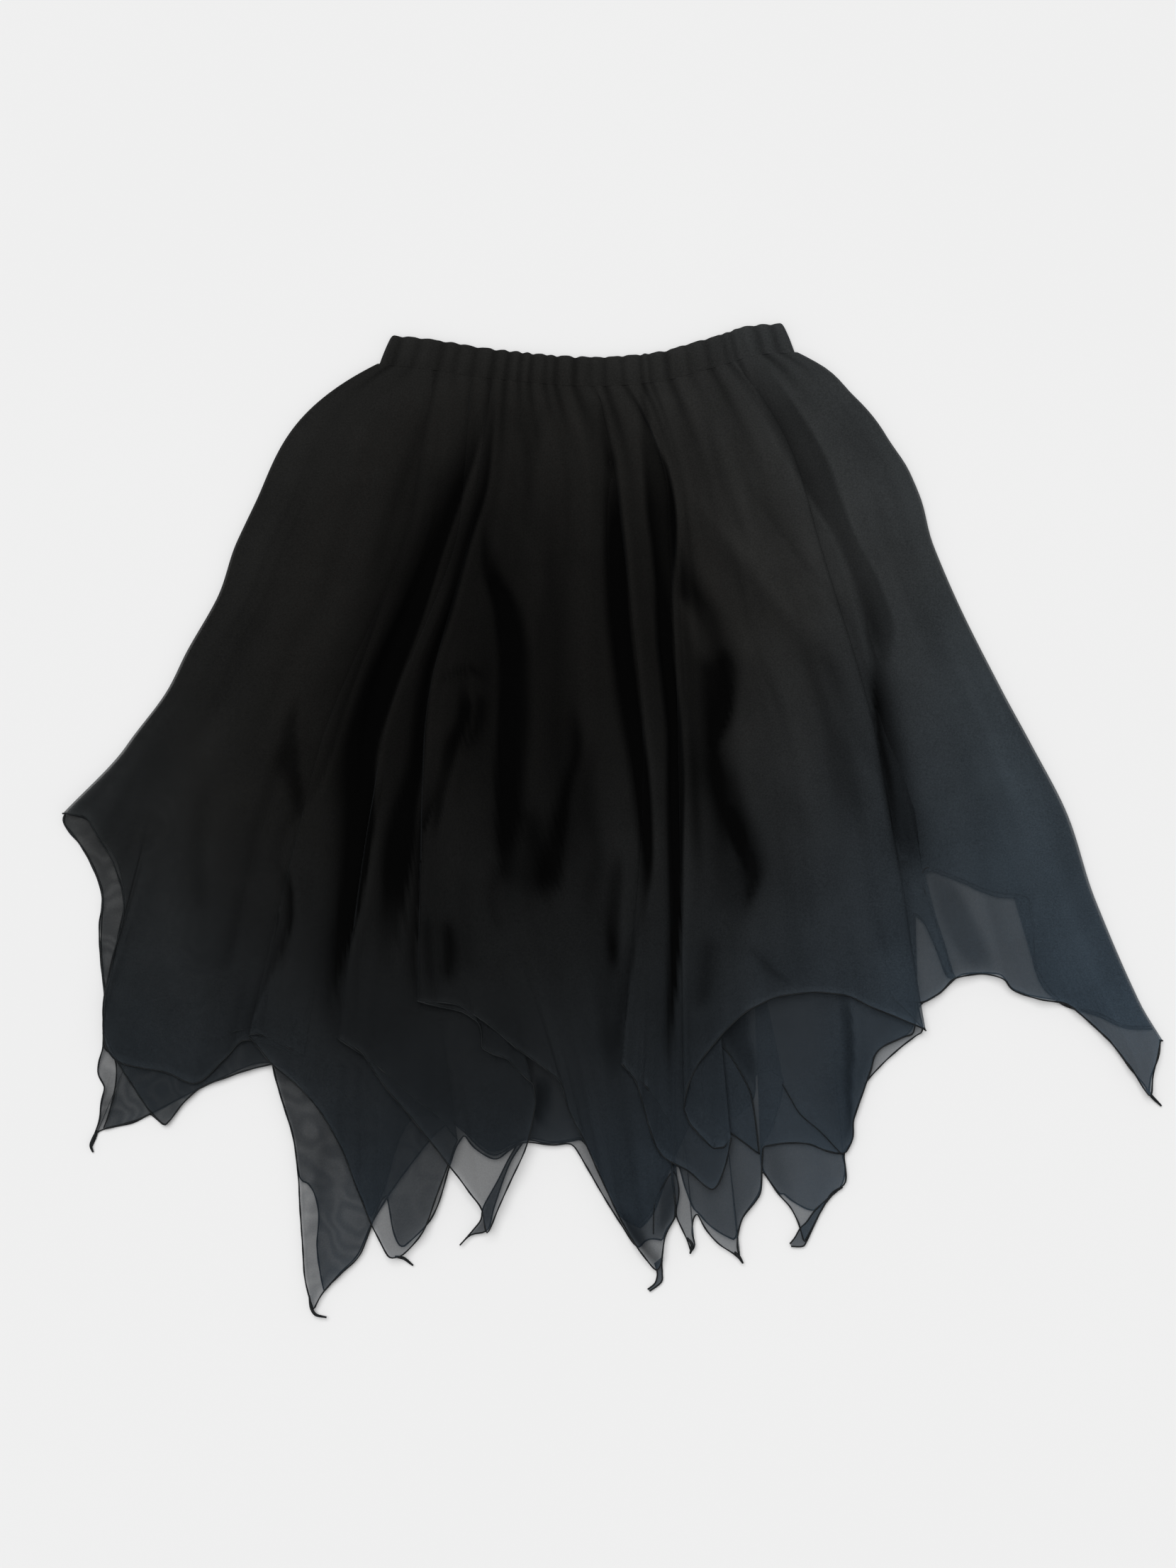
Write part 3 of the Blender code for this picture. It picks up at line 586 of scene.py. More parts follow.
# Lights and shades down the cloth: how strong, and their wave lengths in millimetres, down and across.
streaks = {
    "wander": 1.6,
    "wanderWaves": (85, 40),
    "fineTone": 0.05,
    "fineWave": 1.3,
    "fineBreaks": (60, 9),
    "broadTone": 0.085,
    "broadWave": 3.7,
    "slowTone": 0.7,
    "slowWaves": (140, 8.3),
    "fadeIn": 60,
}


def streaksOf(waist, drop):
    # Faint lights and shades that run down the cloth with its fullness: waves of the waist place that wander
    # slowly with the drop.
    down, aside = streaks["wanderWaves"]
    wander = streaks["wander"] * np.sin(drop / down + waist / aside)
    down, aside = streaks["fineBreaks"]
    fine = np.sin(waist / streaks["fineWave"] + wander) * np.sin(drop / down + waist / aside)
    down, aside = streaks["slowWaves"]
    slow = streaks["slowTone"] * np.sin(waist / aside - drop / down)
    broad = np.sin(waist / streaks["broadWave"] + wander) + slow
    return (streaks["fineTone"] * fine + streaks["broadTone"] * broad) * smoothStep(drop / streaks["fadeIn"])


def dressed(grid, flutter, flutterLength, foldShare):
    # Adds to the levels of a grid: the laid folds, the gathers below the casing, the stack's undulation and a
    # flutter along the hem, flutter * (1 + sin(2 pi arc / length + ...)) * S(s) over the last part of the
    # rib. Its tone gets the folds' painted shade and highlights, painted shade in the gathers' valleys, the
    # streaks, and a painted highlight along the rolled hem.
    across, drop, level, waist = np.moveaxis(grid, -1, 0)
    rise, tone = foldField(across, drop)
    below = drop - seamDrop(waist)
    gather = gatherField(waist, below)
    rows = np.linspace(0, 1, grid.shape[1])[None, :]
    hem = grid[:, -1]
    arc = np.concatenate([[0], np.cumsum(np.hypot(*np.diff(hem[:, :2], axis=0).T))])[:, None]
    swing, length = drape["flutterWander"]
    wave = 1 + np.sin(2 * math.pi * arc / flutterLength + swing * np.sin(arc / length))
    hemFlutter = flutter * wave * smoothStep((rows - drape["hemStart"]) / (1 - drape["hemStart"]))
    settled = smoothStep(below / drape["settleBelow"])
    undulation = (layOf(across, drop) - 1) * settled
    lifted = level + foldShare * rise * settled + (gather + drape["gatherLift"]) + undulation + hemFlutter
    least, perLevel = drape["clearance"]
    dressedLevel = np.maximum(lifted, least + perLevel * (level - level.min()))
    # A painted highlight in a narrow strip along the rolled hem.
    rolled = np.exp(-(((drop[:, -1:] - drop) / drape["hemHighlightWidth"]) ** 2))
    onEvery, onFolds = drape["hemHighlightTones"]
    lighter = (onEvery + onFolds * foldShare) * rolled
    # The gathers' painted shade, the streaks and the hem's painted highlight go into the tone.
    tone = tone + drape["paintedGatherShading"] * gather + streaksOf(waist, drop) + lighter
    return toWorld(across, drop, dressedLevel), np.clip(1 + tone, *drape["toneLimits"])


# The three layers below lie flat. Each hem lists (across, drop) places from the left seam to the right.
underskirtFrontHem = (
    (-407, 353.5), (-391, 358), (-386, 366), (-378, 375), (-370, 385), (-366, 395), (-363, 410), (-362, 425),
    (-365, 440), (-369, 460), (-372, 478), (-376, 495), (-377, 512), (-377, 524), (-369, 543), (-355, 566),
    (-342, 585), (-331, 596), (-326, 591), (-316, 578), (-302, 566), (-284, 559), (-267, 553), (-247, 548),
    (-244, 561), (-238, 581), (-231, 604), (-227, 633), (-225.5, 661), (-223.5, 690), (-222, 713),
    (-218, 731), (-215, 739), (-208, 726), (-195, 712), (-181, 699), (-175, 687), (-170, 673), (-163, 655),
    (-158, 650), (-156, 661), (-153.5, 676), (-149, 688), (-145, 690), (-128, 674), (-120, 661), (-115, 647),
    (-110, 629), (-104, 612), (-98, 603), (-89, 614), (-74, 622), (-63, 615), (-51, 609), (-30, 611),
    (-18, 610), (-12, 613), (-3, 628), (12, 654), (24, 673), (33, 687), (38, 691), (42, 686), (48, 684),
    (56, 685), (59, 677), (65.9, 667), (66, 657), (64.7, 644), (63, 631), (66, 633), (68.6, 644), (68.2, 654),
    (66.6, 661), (67, 667), (72, 678), (76, 687), (78, 694), (81, 689), (79, 679), (80, 668), (83, 664),
    (90, 677), (100, 688), (112, 696), (117, 701), (114, 690), (115, 678), (119, 666), (128, 655),
    (132.5, 646), (133, 628), (134, 612), (152, 609.5), (169, 610), (182, 615), (196, 617.5), (201, 612),
    (204, 604), (204.5, 591), (212, 569), (215, 560), (218, 552), (221, 541), (228, 534), (243, 527),
    (252, 519), (252, 470), (251, 430), (258, 436), (264, 448), (270, 461), (277, 479), (284, 481),
    (280, 475), (277, 463), (272, 446), (265, 428), (259, 410), (258, 398), (264, 395), (275, 399),
    (290, 405), (302, 410), (317, 415), (331, 416), (340, 418), (343, 422), (343.5, 431), (347, 443),
    (347.5, 457), (350, 472), (358, 487), (370, 500), (378, 504), (399, 509), (417, 518), (437, 519),
)
underskirtBackHem = (
    (-408, 353.5), (-409, 361), (-403, 369), (-394, 381), (-384, 400), (-379, 417), (-380, 440), (-380, 466),
    (-377, 495), (-378, 518), (-378, 535), (-369.5, 544), (-369, 564), (-375, 589), (-379, 599), (-356, 593),
    (-342, 587), (-336, 592), (-331, 596), (-326, 591), (-316, 578), (-302, 566), (-284, 559), (-267, 553),
    (-247, 548), (-244, 561), (-238, 581), (-231, 604), (-227, 632), (-224, 639), (-219.5, 641), (-214, 650),
    (-211, 667), (-212.5, 690), (-209.5, 713), (-207, 725), (-195, 711), (-182, 698), (-176, 686),
    (-169, 670), (-150, 640), (-122, 604), (-108, 593), (-97, 602), (-85, 614), (-74, 619), (-62, 613),
    (-50, 607), (-32, 610), (-14, 608), (-6, 608), (4, 624), (13, 646), (20, 659), (27, 669), (37, 674),
    (50, 658), (60, 631), (69, 627), (74, 645), (80, 660), (84, 664), (92, 673), (102, 680), (112, 685),
    (115, 677), (119, 666), (127, 655), (132, 645), (133, 633), (135, 633), (146, 649), (155, 659),
    (160.5, 669), (163, 676), (166, 687), (174, 672), (181, 659), (187, 649), (196, 643), (198.5, 638),
    (198, 628), (197, 618), (201, 612), (204, 604), (204.5, 591), (212, 569), (215, 561), (228, 547),
    (240, 536), (253, 526), (258, 521), (254, 500), (253, 470), (252, 432), (259, 438), (265, 450),
    (270, 462), (277, 480), (283, 481), (279, 475), (276, 463), (271, 446), (266, 430), (260, 413),
    (259, 401), (265, 398), (276, 402), (292, 408), (303, 413), (317, 418), (331, 419), (338, 421),
    (341, 425), (342, 433), (345, 445), (346, 458), (349, 474), (356, 489), (369, 501), (378, 505),
    (398, 511), (417, 520), (438, 521),
)
overlayBackHem = (
    (-407.5, 353), (-410, 357), (-409, 362), (-404.5, 369), (-396, 379), (-385, 400), (-380, 417),
    (-380, 428), (-382, 440), (-381, 466), (-378, 495), (-379, 518), (-379, 535), (-382, 546), (-383, 556),
    (-378, 566), (-379, 572), (-381, 581), (-382, 592), (-386, 604), (-388.5, 614), (-385, 606), (-381, 600),
    (-356, 594), (-342, 587), (-299, 565), (-250, 547), (-216, 576), (-195, 610), (-181, 645), (-171, 668),
    (-160, 644), (-151, 612), (-138, 590), (-118, 590), (-100, 598), (-84, 612), (-74, 616), (-62, 611),
    (-48, 606), (-30, 609), (-14, 607), (-6, 607), (4, 623), (12, 644), (19, 660), (27, 670), (39, 676),
    (50, 662), (60, 634), (72, 606), (84, 582), (98, 574), (112, 590), (126, 577), (128, 557), (138, 553),
    (150, 560), (148, 575), (140, 600), (133, 614), (134, 630), (146, 648), (150, 649), (159, 656),
    (174, 662), (186, 652), (195, 643), (198, 630), (196, 618), (201, 611), (204, 604), (204.5, 591),
    (212, 569), (215, 561), (218, 552), (221, 541), (228, 534), (243, 527), (250, 520), (256, 503),
    (272, 493), (284, 482), (293, 478), (317, 478), (324, 482.5), (328, 488.5), (340, 494), (355, 497),
    (372.5, 500), (378, 504.5), (393, 519), (408, 535.5), (420, 552), (431, 565), (434.5, 572), (436, 557.5),
    (442, 543), (443, 530),
)
flatLayers = {
    "overlayBack": {
        "node": "overlay_back", "hem": overlayBackHem, "layer": 0, "flat": (1.02, 0.66), "area": 0.47,
    },
    "underskirtBack": {
        "node": "underskirt_back", "hem": underskirtBackHem, "layer": 1, "flat": (1.0, 0.70), "area": 0.46,
    },
    "underskirtFront": {
        "node": "underskirt_front", "hem": underskirtFrontHem, "layer": 2, "flat": (1.0, 0.75), "area": 0.48,
    },
    "columns": 760,
    "rows": 56,
    "shareByLength": 0.8,
    "cornerAngle": 62.0,
    "hemSteps": 6,
    "flutter": 0.35,
    "flutterLength": 27.0,
}


def smoothHem(places):
    # Catmull-Rom curves between the hem's corners, where it turns by more than the corner angle.
    places = np.array(places, float)
    heading = np.unwrap(np.arctan2(*np.diff(places, axis=0).T[::-1]))
    corners = np.flatnonzero(abs(np.diff(heading)) > math.radians(flatLayers["cornerAngle"])) + 1
    ends = [0, *corners, len(places) - 1]
    steps = flatLayers["hemSteps"]
    runs = [refine(places[a : b + 1][:, None], steps)[:, 0] for a, b in zip(ends[:-1], ends[1:])]
    return np.concatenate([run[:-1] for run in runs] + [places[-1:]])


def flatGrid(layer):
    # Ribs from even places along the waist to the hem, shared out mostly by its length, so that none cross.
    hem = smoothHem(layer["hem"])
    arc = np.concatenate([[0], np.cumsum(np.hypot(*np.diff(hem, axis=0).T))])
    width = (hem[:, 0] - hem[0, 0]) / (hem[-1, 0] - hem[0, 0])
    weight = flatLayers["shareByLength"]
    shares = weight * arc / arc[-1] + (1 - weight) * np.maximum.accumulate(width)
    share = np.linspace(0, 1, flatLayers["columns"])
    waist = skirt["waistLeft"] + (skirt["waistRight"] - skirt["waistLeft"]) * share
    hip = skirt["hipLeft"] + (skirt["hipRight"] - skirt["hipLeft"]) * share
    knee = skirt["kneeLeft"] + (skirt["kneeRight"] - skirt["kneeLeft"]) * share
    hemAcross, hemDrop = (np.interp(share, shares, column) for column in hem.T)
    rows = np.linspace(0, 1, flatLayers["rows"])
    across, drops = ribLines(waist, hip, knee, hemAcross, hemDrop, rows)[1:]
    level = np.full_like(across, layer["layer"] * skirt["layerPitch"] + skirt["wall"] / 2)
    return np.stack([across, drops, level, np.repeat(waist[:, None], len(rows), axis=1)], axis=-1)


# The rolled hem, a thin cord of cloth along each cut edge, with a twisted tip where two edges meet.
hems = {
    "radius": 0.62,
    "sides": 7,
    "spacing": 2.2,
    "swells": ((0.12, 0.9), (0.08, 0.37)),  # how much of the radius, and how fast along the hem
    "height": 0.6,  # of the tips, above the lowest place of the hem
    "tipRadius": 1.25,
    "tipEnd": 0.7,
    "tipPower": 0.8,
    "tipArch": 0.9,
    "tipSteps": 14,
}
tipPlaces = {
    "overlayFront": (
        ((-152, 698), (-146, 699), (-138, 705)),
        ((432, 567), (436, 573), (444, 581)),
    ),
    "underskirtFront": (
        ((-218.5, 728), (-217, 737), (-213, 743), (-205, 745)),
        ((75, 683), (79, 689), (77.5, 695.5)),
        ((112, 694), (115.5, 698), (118.5, 703)),
    ),
    "underskirtBack": (),
    "overlayBack": (((-384, 600), (-387, 607), (-388.5, 612), (-387, 617)),),
}


def tubeAlong(path, radii, sides):
    # Circles along a path: point + radius * (cos(a) * across the path + sin(a) * up), closed at both ends.
    path = np.asarray(path, float)
    tangent = np.gradient(path, axis=0)
    tangent /= np.linalg.norm(tangent, axis=1, keepdims=True)
    side = np.cross(tangent, (0, 0, 1.0))
    side /= np.maximum(np.linalg.norm(side, axis=1, keepdims=True), 1e-9)
    up = np.cross(side, tangent)
    angle = 2 * math.pi * np.arange(sides) / sides
    ring = np.cos(angle)[:, None] * side[:, None] + np.sin(angle)[:, None] * up[:, None]
    points = path[:, None] + np.broadcast_to(radii, len(path))[:, None, None] * ring
    index = np.arange(len(path) * sides).reshape(len(path), sides)
    beside = np.roll(index, -1, axis=1)
    faces = np.stack([index[:-1], index[1:], beside[1:], beside[:-1]], axis=-1).reshape(-1, 4).tolist()
    return points.reshape(-1, 3), faces + [index[0].tolist(), index[-1, ::-1].tolist()]


def evenly(path, spacing):
    # The same path with points at even steps along its length.
    arc = np.concatenate([[0], np.cumsum(np.linalg.norm(np.diff(path, axis=0), axis=1))])
    places = np.linspace(0, arc[-1], max(4, int(arc[-1] / spacing)))
    return np.stack([np.interp(places, arc, column) for column in path.T], axis=1)


def joinedTubes(name, tubes, material):
    # One object of all the tubes, each tube's corners numbered on from the last one's.
    points, faces, count = [], [], 0
    for tubePoints, tubeFaces in tubes:
        points.append(tubePoints)
        faces += [[corner + count for corner in face] for face in tubeFaces]
        count += len(tubePoints)
    return addMesh(name, np.concatenate(points), faces, material)


def rolledHem(name, hemLine, tipLevel, material):
    # A tube along the hem, its radius times 1 + two sines of the length, plus a tapered twist at each listed
    # point, of radius hem + (tip - hem) * sin(pi s)^power.
    line = evenly(hemLine, hems["spacing"] * mm)
    steps = np.arange(len(line))
    (swell, pace), (slowSwell, slowPace) = hems["swells"]
    radii = hems["radius"] * mm * (1 + swell * np.sin(steps * pace) + slowSwell * np.sin(steps * slowPace))
    tubes = [tubeAlong(line, radii, hems["sides"])]
    for places in tipPlaces[name]:
        coarse = np.array(places, float)
        along = np.linspace(0, 1, hems["tipSteps"])
        knots = np.linspace(0, 1, len(coarse))
        across, drop = (smoothCurve(along, knots, column)[0] for column in coarse.T)
        level = tipLevel + hems["tipArch"] * np.sin(math.pi * along)
        swelling = np.sin(math.pi * along) ** hems["tipPower"]
        taper = hems["radius"] + (hems["tipRadius"] - hems["radius"]) * swelling
        taper = np.where(along > 0.5, np.maximum(taper, hems["tipEnd"]), taper)
        tubes.append(tubeAlong(toWorld(across, drop, level), taper * mm, hems["sides"] + 1))
    return joinedTubes(name + "Hem", tubes, material)


# Corners of the cloth that lie folded over: each a small ply between a left and a right line of (across,
# drop) places, hemmed along both, at a level in millimetres. Tone and cover are the look of its cloth.
corners = {
    "secondTip": {
        "left": ((-57, 611), (-64, 623), (-72, 639), (-83, 659), (-85, 669), (-91, 677), (-100.5, 688)),
        "right": ((-53, 610), (-61, 622), (-67, 636), (-75, 660), (-80, 677), (-93, 681), (-101.5, 689)),
        "level": 3.0, "tone": 0.85, "cover": 0.45,
    },
    "archTip": {
        "left": ((194, 645), (183, 654), (174.5, 662), (168, 671), (163, 676), (159, 683), (155, 688)),
        "right": ((196, 644), (189, 649), (181, 659), (174.5, 672), (168, 686), (165, 690), (156, 690)),
        "level": 2.6, "tone": 0.9, "cover": 0.4,
    },
    "thirdTip": {
        "left": ((50, 703), (51.5, 708), (52, 713), (50, 719), (44.5, 723.5)),
        "right": ((56, 698), (55.5, 704), (55.8, 711), (55, 718), (46, 725)),
        "level": 2.2, "tone": 0.85, "cover": 0.5,
    },
    "archLeaf": {
        "left": ((99, 531), (90, 540), (86.5, 552), (87, 566), (90, 582), (101, 595), (114, 605), (130, 617)),
        "right": ((99, 531), (108, 541), (118, 557.5), (124, 570), (127, 585), (129, 600), (130, 610),
                  (131, 618)),
        "level": 5.6, "tone": 0.95, "cover": 0.35,
    },
}
cornerMesh = {
    "rows": 34,
    "columns": 12,
    "steps": 8,  # between two listed places, before the curve is made even
    "bulge": 0.5,
}

# Hem lines of the layers below that show through the cloth above them, at a level in millimetres.
shownHems = {
    "level": 6.0,
    "thinner": 0.7,
    "lines": (
        ((149, 563.5), (156, 576), (163, 587), (178, 600), (189, 611.6), (195, 618)),
        ((-282, 524), (-271, 521.5), (-261, 520.5)),
        ((62.4, 633), (57.7, 640), (50, 656.5), (48.8, 680)),
    ),
}


def evenCurve(places, count):
    # A smooth curve through the places with points at even steps along it.
    path = refine(np.array(places, float)[:, None], cornerMesh["steps"])[:, 0]
    arc = np.concatenate([[0], np.cumsum(np.hypot(*np.diff(path, axis=0).T))])
    return np.stack([np.interp(np.linspace(0, arc[-1], count), arc, column) for column in path.T], axis=1)


def foldedCorners(clothLook, hemLook):
    # Each corner is left + u * (right - left) along two even curves, raised by bulge * sin(pi u) * sin(pi v).
    points, faces, tones, covers, cords = [], [], [], [], []
    columns, rows = cornerMesh["columns"], cornerMesh["rows"]
    u = np.linspace(0, 1, columns)[:, None]
    v = np.linspace(0, 1, rows)[None, :]
    for corner in corners.values():
        sides = {side: evenCurve(corner[side], rows) for side in ("left", "right")}
        flat = sides["left"][None] + u[:, :, None] * (sides["right"] - sides["left"])[None]
        level = corner["level"] + layOf(flat[:, :, 0], flat[:, :, 1]) - 1
        raised = level + cornerMesh["bulge"] * np.sin(math.pi * u) * np.sin(math.pi * v)
        faces.append(gridFaces(columns, rows) + len(points) * columns * rows)
        points.append(toWorld(flat[:, :, 0], flat[:, :, 1], raised).reshape(-1, 3))
        tones.append(np.full(u.size * v.size, corner["tone"]))
        covers.append(np.full(u.size * v.size, corner["cover"]))
        for side, heights in (("left", level[0]), ("right", level[-1])):
            line = toWorld(sides[side][:, 0], sides[side][:, 1], heights)
            cords.append(tubeAlong(line, hems["radius"] * mm, hems["sides"]))
    for places in shownHems["lines"]:
        across, drop = evenCurve(places, rows).T
        line = toWorld(across, drop, shownHems["level"] + layOf(across, drop) - 1)
        cords.append(tubeAlong(line, shownHems["thinner"] * hems["radius"] * mm, hems["sides"]))
    attributes = {"tone": np.concatenate(tones), "cover": np.concatenate(covers)}
    cloth = addMesh("foldedCorners", np.concatenate(points), np.concatenate(faces), clothLook, attributes)
    return cloth, joinedTubes("foldedCornersHem", cords, hemLook)


# The waist casing: cloth gathered over elastic, its front and back halves meeting along the top edge.
casing = {
    "columns": 460,
    "rows": 16,
    "frontLevel": 5.3,
    "backLevel": 0.5,
    "middle": 2.75,
    "ruffle": 0.9,
    "ruffleMiddle": 0.6,  # how deep a gather leaves the top edge where it is
    "elasticSwell": 1.2,  # how far the elastic rounds the band out between its edges
    "overlap": 0.8,  # how far the band's lower edge goes over the tiers' seam
    "cornerRadius": 4.0,
    "endTaper": 3.5,
    "fold": (0.22, 0.6),  # share of the height that the round at the top fold takes, and its power
    "pucker": (0.22, 1.9, 9),  # fine gathers between the listed ones: depth, and two wave lengths
    "frontGather": 0.7,
    "backSag": 0.3,
    "backGather": 0.2,
    # Painted shade in the casing's gathered valleys, and painted highlight on the puffs between them.
    "paintedGatherShading": 0.28,
    "toneLimits": (0.2, 1.5),
    # Fitted to this mesh, which has one face and shallow gathers: the real cut is nearer 0.64 by 0.05 a half.
    "flat": (0.34, 0.026),
}


def casingGrid(side):
    # A band across the waist: down from 0 at the top edge to 1 at the tiers. Its level leaves the fold at the
    # top by a round sin(a)^0.6, swells over the elastic by sin(pi * d), and is cut into by the gathers.
    share = np.linspace(0, 1, casing["columns"])[:, None]
    turn = np.linspace(0, 1, casing["rows"])[None, :]
    across = skirt["waistLeft"] + (skirt["waistRight"] - skirt["waistLeft"]) * share + 0 * turn
    down = 0.5 - 0.5 * np.cos(math.pi * turn) + 0 * share
    depth, short, long = casing["pucker"]
    valley = gatherField(across, 0 * across) + depth * np.sin(across / short + 2 * np.sin(across / long))
    height = skirt["casingHeight"] + (casing["overlap"] if side == "front" else 0)
    ruffle = casing["ruffle"] * (valley + casing["ruffleMiddle"])
    drop = topEdge(across) + height * down - ruffle * (1 - down) ** 2
    fromEnd = np.minimum(across - skirt["waistLeft"], skirt["waistRight"] - across)
    corner = casing["cornerRadius"] * np.clip(1 - fromEnd / casing["cornerRadius"], 0, 1) ** 2
    drop = drop + corner * (1 - down) ** 2
    foldShare, power = casing["fold"]
    section = np.sin(math.pi / 2 * np.clip(down / foldShare, 0, 1)) ** power
    shape = section * smoothStep(fromEnd / casing["endTaper"])
    swell = np.sin(math.pi * down)
    if side == "front":
        crown = casing["frontLevel"] + casing["elasticSwell"] * swell + casing["frontGather"] * valley
    else:
        crown = casing["backLevel"] - casing["backSag"] * swell + casing["backGather"] * abs(valley)
    level = casing["middle"] + (crown - casing["middle"]) * shape
    flare = 1 + (skirt["casingFlare"] - 1) * down
    # Painted shade in the gathers' valleys and painted highlight on the puffs between them.
    tone = np.clip(1 + casing["paintedGatherShading"] * valley, *casing["toneLimits"])
    return toWorld(across * flare, drop, level), tone


# Cloth materials. Alpha is the sheer chiffon's cover, which is dense near the waist, where many plies lie.
chiffon = {
    # The ramp is painted sheen: the cloth near black at its middle, lighter and bluer outwards as the light's
    # sheen falls.
    "centre": (-70.0, 250.0),
    "radii": (250.0, 330.0),
    "ramp": (
        (0.0, 0.0036, 0.0036, 0.0036), (0.25, 0.0052, 0.0052, 0.0052), (0.42, 0.0097, 0.0098, 0.0098),
        (0.60, 0.0150, 0.0158, 0.0165), (0.80, 0.0225, 0.0255, 0.0285), (1.0, 0.0270, 0.0330, 0.0385),
    ),
    "shade": 1.3,
    "warm": (1.04, 1.0, 0.93),  # the cloth's own warm black at the upper left, and a painted bluish sheen at the lower right
    "cool": (0.86, 1.0, 1.13),
    "tintSlope": (0.9, -2.6),  # per metre to the right and up
    "tintMiddle": 0.30,
    "rampReach": 1.6,  # distance, in radii, where the ramp ends
    "paintedSideSheen": 0.9,  # painted sheen from the light on the right: how much lighter the right is than the left, per metre
    "alpha": 0.56,
    "denseAlpha": 0.985,
    "alphaGrain": 0.16,  # how much alpha varies with the crepe
    "blotch": {"Scale": 22.0, "Detail": 4.0},
    "blotchDepth": 0.5,
    "crepe": {"Scale": 800.0, "Detail": 2.0},
    "crepeShade": (0.9, 0.3),
    "crepeBump": 1.4,
    "thread": {"Scale": 420.0, "Distortion": 1.5},
    "bump": (0.25, 0.0004),  # strength, and distance in metres
    "contour": {"Scale": 15.0, "Detail": 2.5},
    "contourRings": 75.0,
    "moire": 0.035,
    "moireSlope": -5.0,  # per metre to the right, so that it shows on the left
    "shader": {"Roughness": 0.8, "Specular IOR Level": 0.03, "Sheen Weight": 0.05, "Sheen Roughness": 0.45,
               "Sheen Tint": (0.30, 0.33, 0.36, 1.0)},
}


def material(name):
    # A new material with its node tree and its shader.
    made = bpy.data.materials.new(name)
    made.use_nodes = True
    return made, made.node_tree, made.node_tree.nodes["Principled BSDF"]


def setInputs(node, values):
    # Each value on the node's own socket of that name.
    for socket, value in values.items():
        node.inputs[socket].default_value = value


def mathNode(tree, operation, first, second=0.0, third=0.0):
    # One operation on numbers or sockets, such as first * second + third for MULTIPLY_ADD.
    node = tree.nodes.new("ShaderNodeMath")
    node.operation = operation
    for socket, value in zip(node.inputs, (first, second, third)):
        if isinstance(value, (int, float)):
            socket.default_value = value
        else:
            tree.links.new(value, socket)
    return node.outputs[0]


def attributeNode(tree, name):
    # The piece's own attribute, one number at each point.
    node = tree.nodes.new("ShaderNodeAttribute")
    node.attribute_name = name
    return node.outputs["Fac"]


def patternNode(tree, kind, place, values, bands=None):
    # Noise or wave bands at the object's own coordinates.
    node = tree.nodes.new("ShaderNodeTex" + kind)
    if bands:
        node.bands_direction = bands
    setInputs(node, values)
    tree.links.new(place, node.inputs["Vector"])
    return node.outputs["Fac"]


def rampNode(tree, factor, stops):
    # A colour at each listed position of the factor, even between them.
    ramp = tree.nodes.new("ShaderNodeValToRGB")
    elements = ramp.color_ramp.elements
    elements.remove(elements[1])
    for number, (position, *colour) in enumerate(stops):
        element = elements[0] if number == 0 else elements.new(position)
        element.position = position
        element.color = (*colour, 1)
    tree.links.new(factor, ramp.inputs["Fac"])
    return ramp.outputs["Color"]


def bumpInto(tree, shader, height, strength, distance):
    # The height, in units of the distance, tilts the shader's normal.
    bump = tree.nodes.new("ShaderNodeBump")
    setInputs(bump, {"Strength": strength, "Distance": distance})
    tree.links.new(height, bump.inputs["Height"])
    tree.links.new(bump.outputs["Normal"], shader.inputs["Normal"])


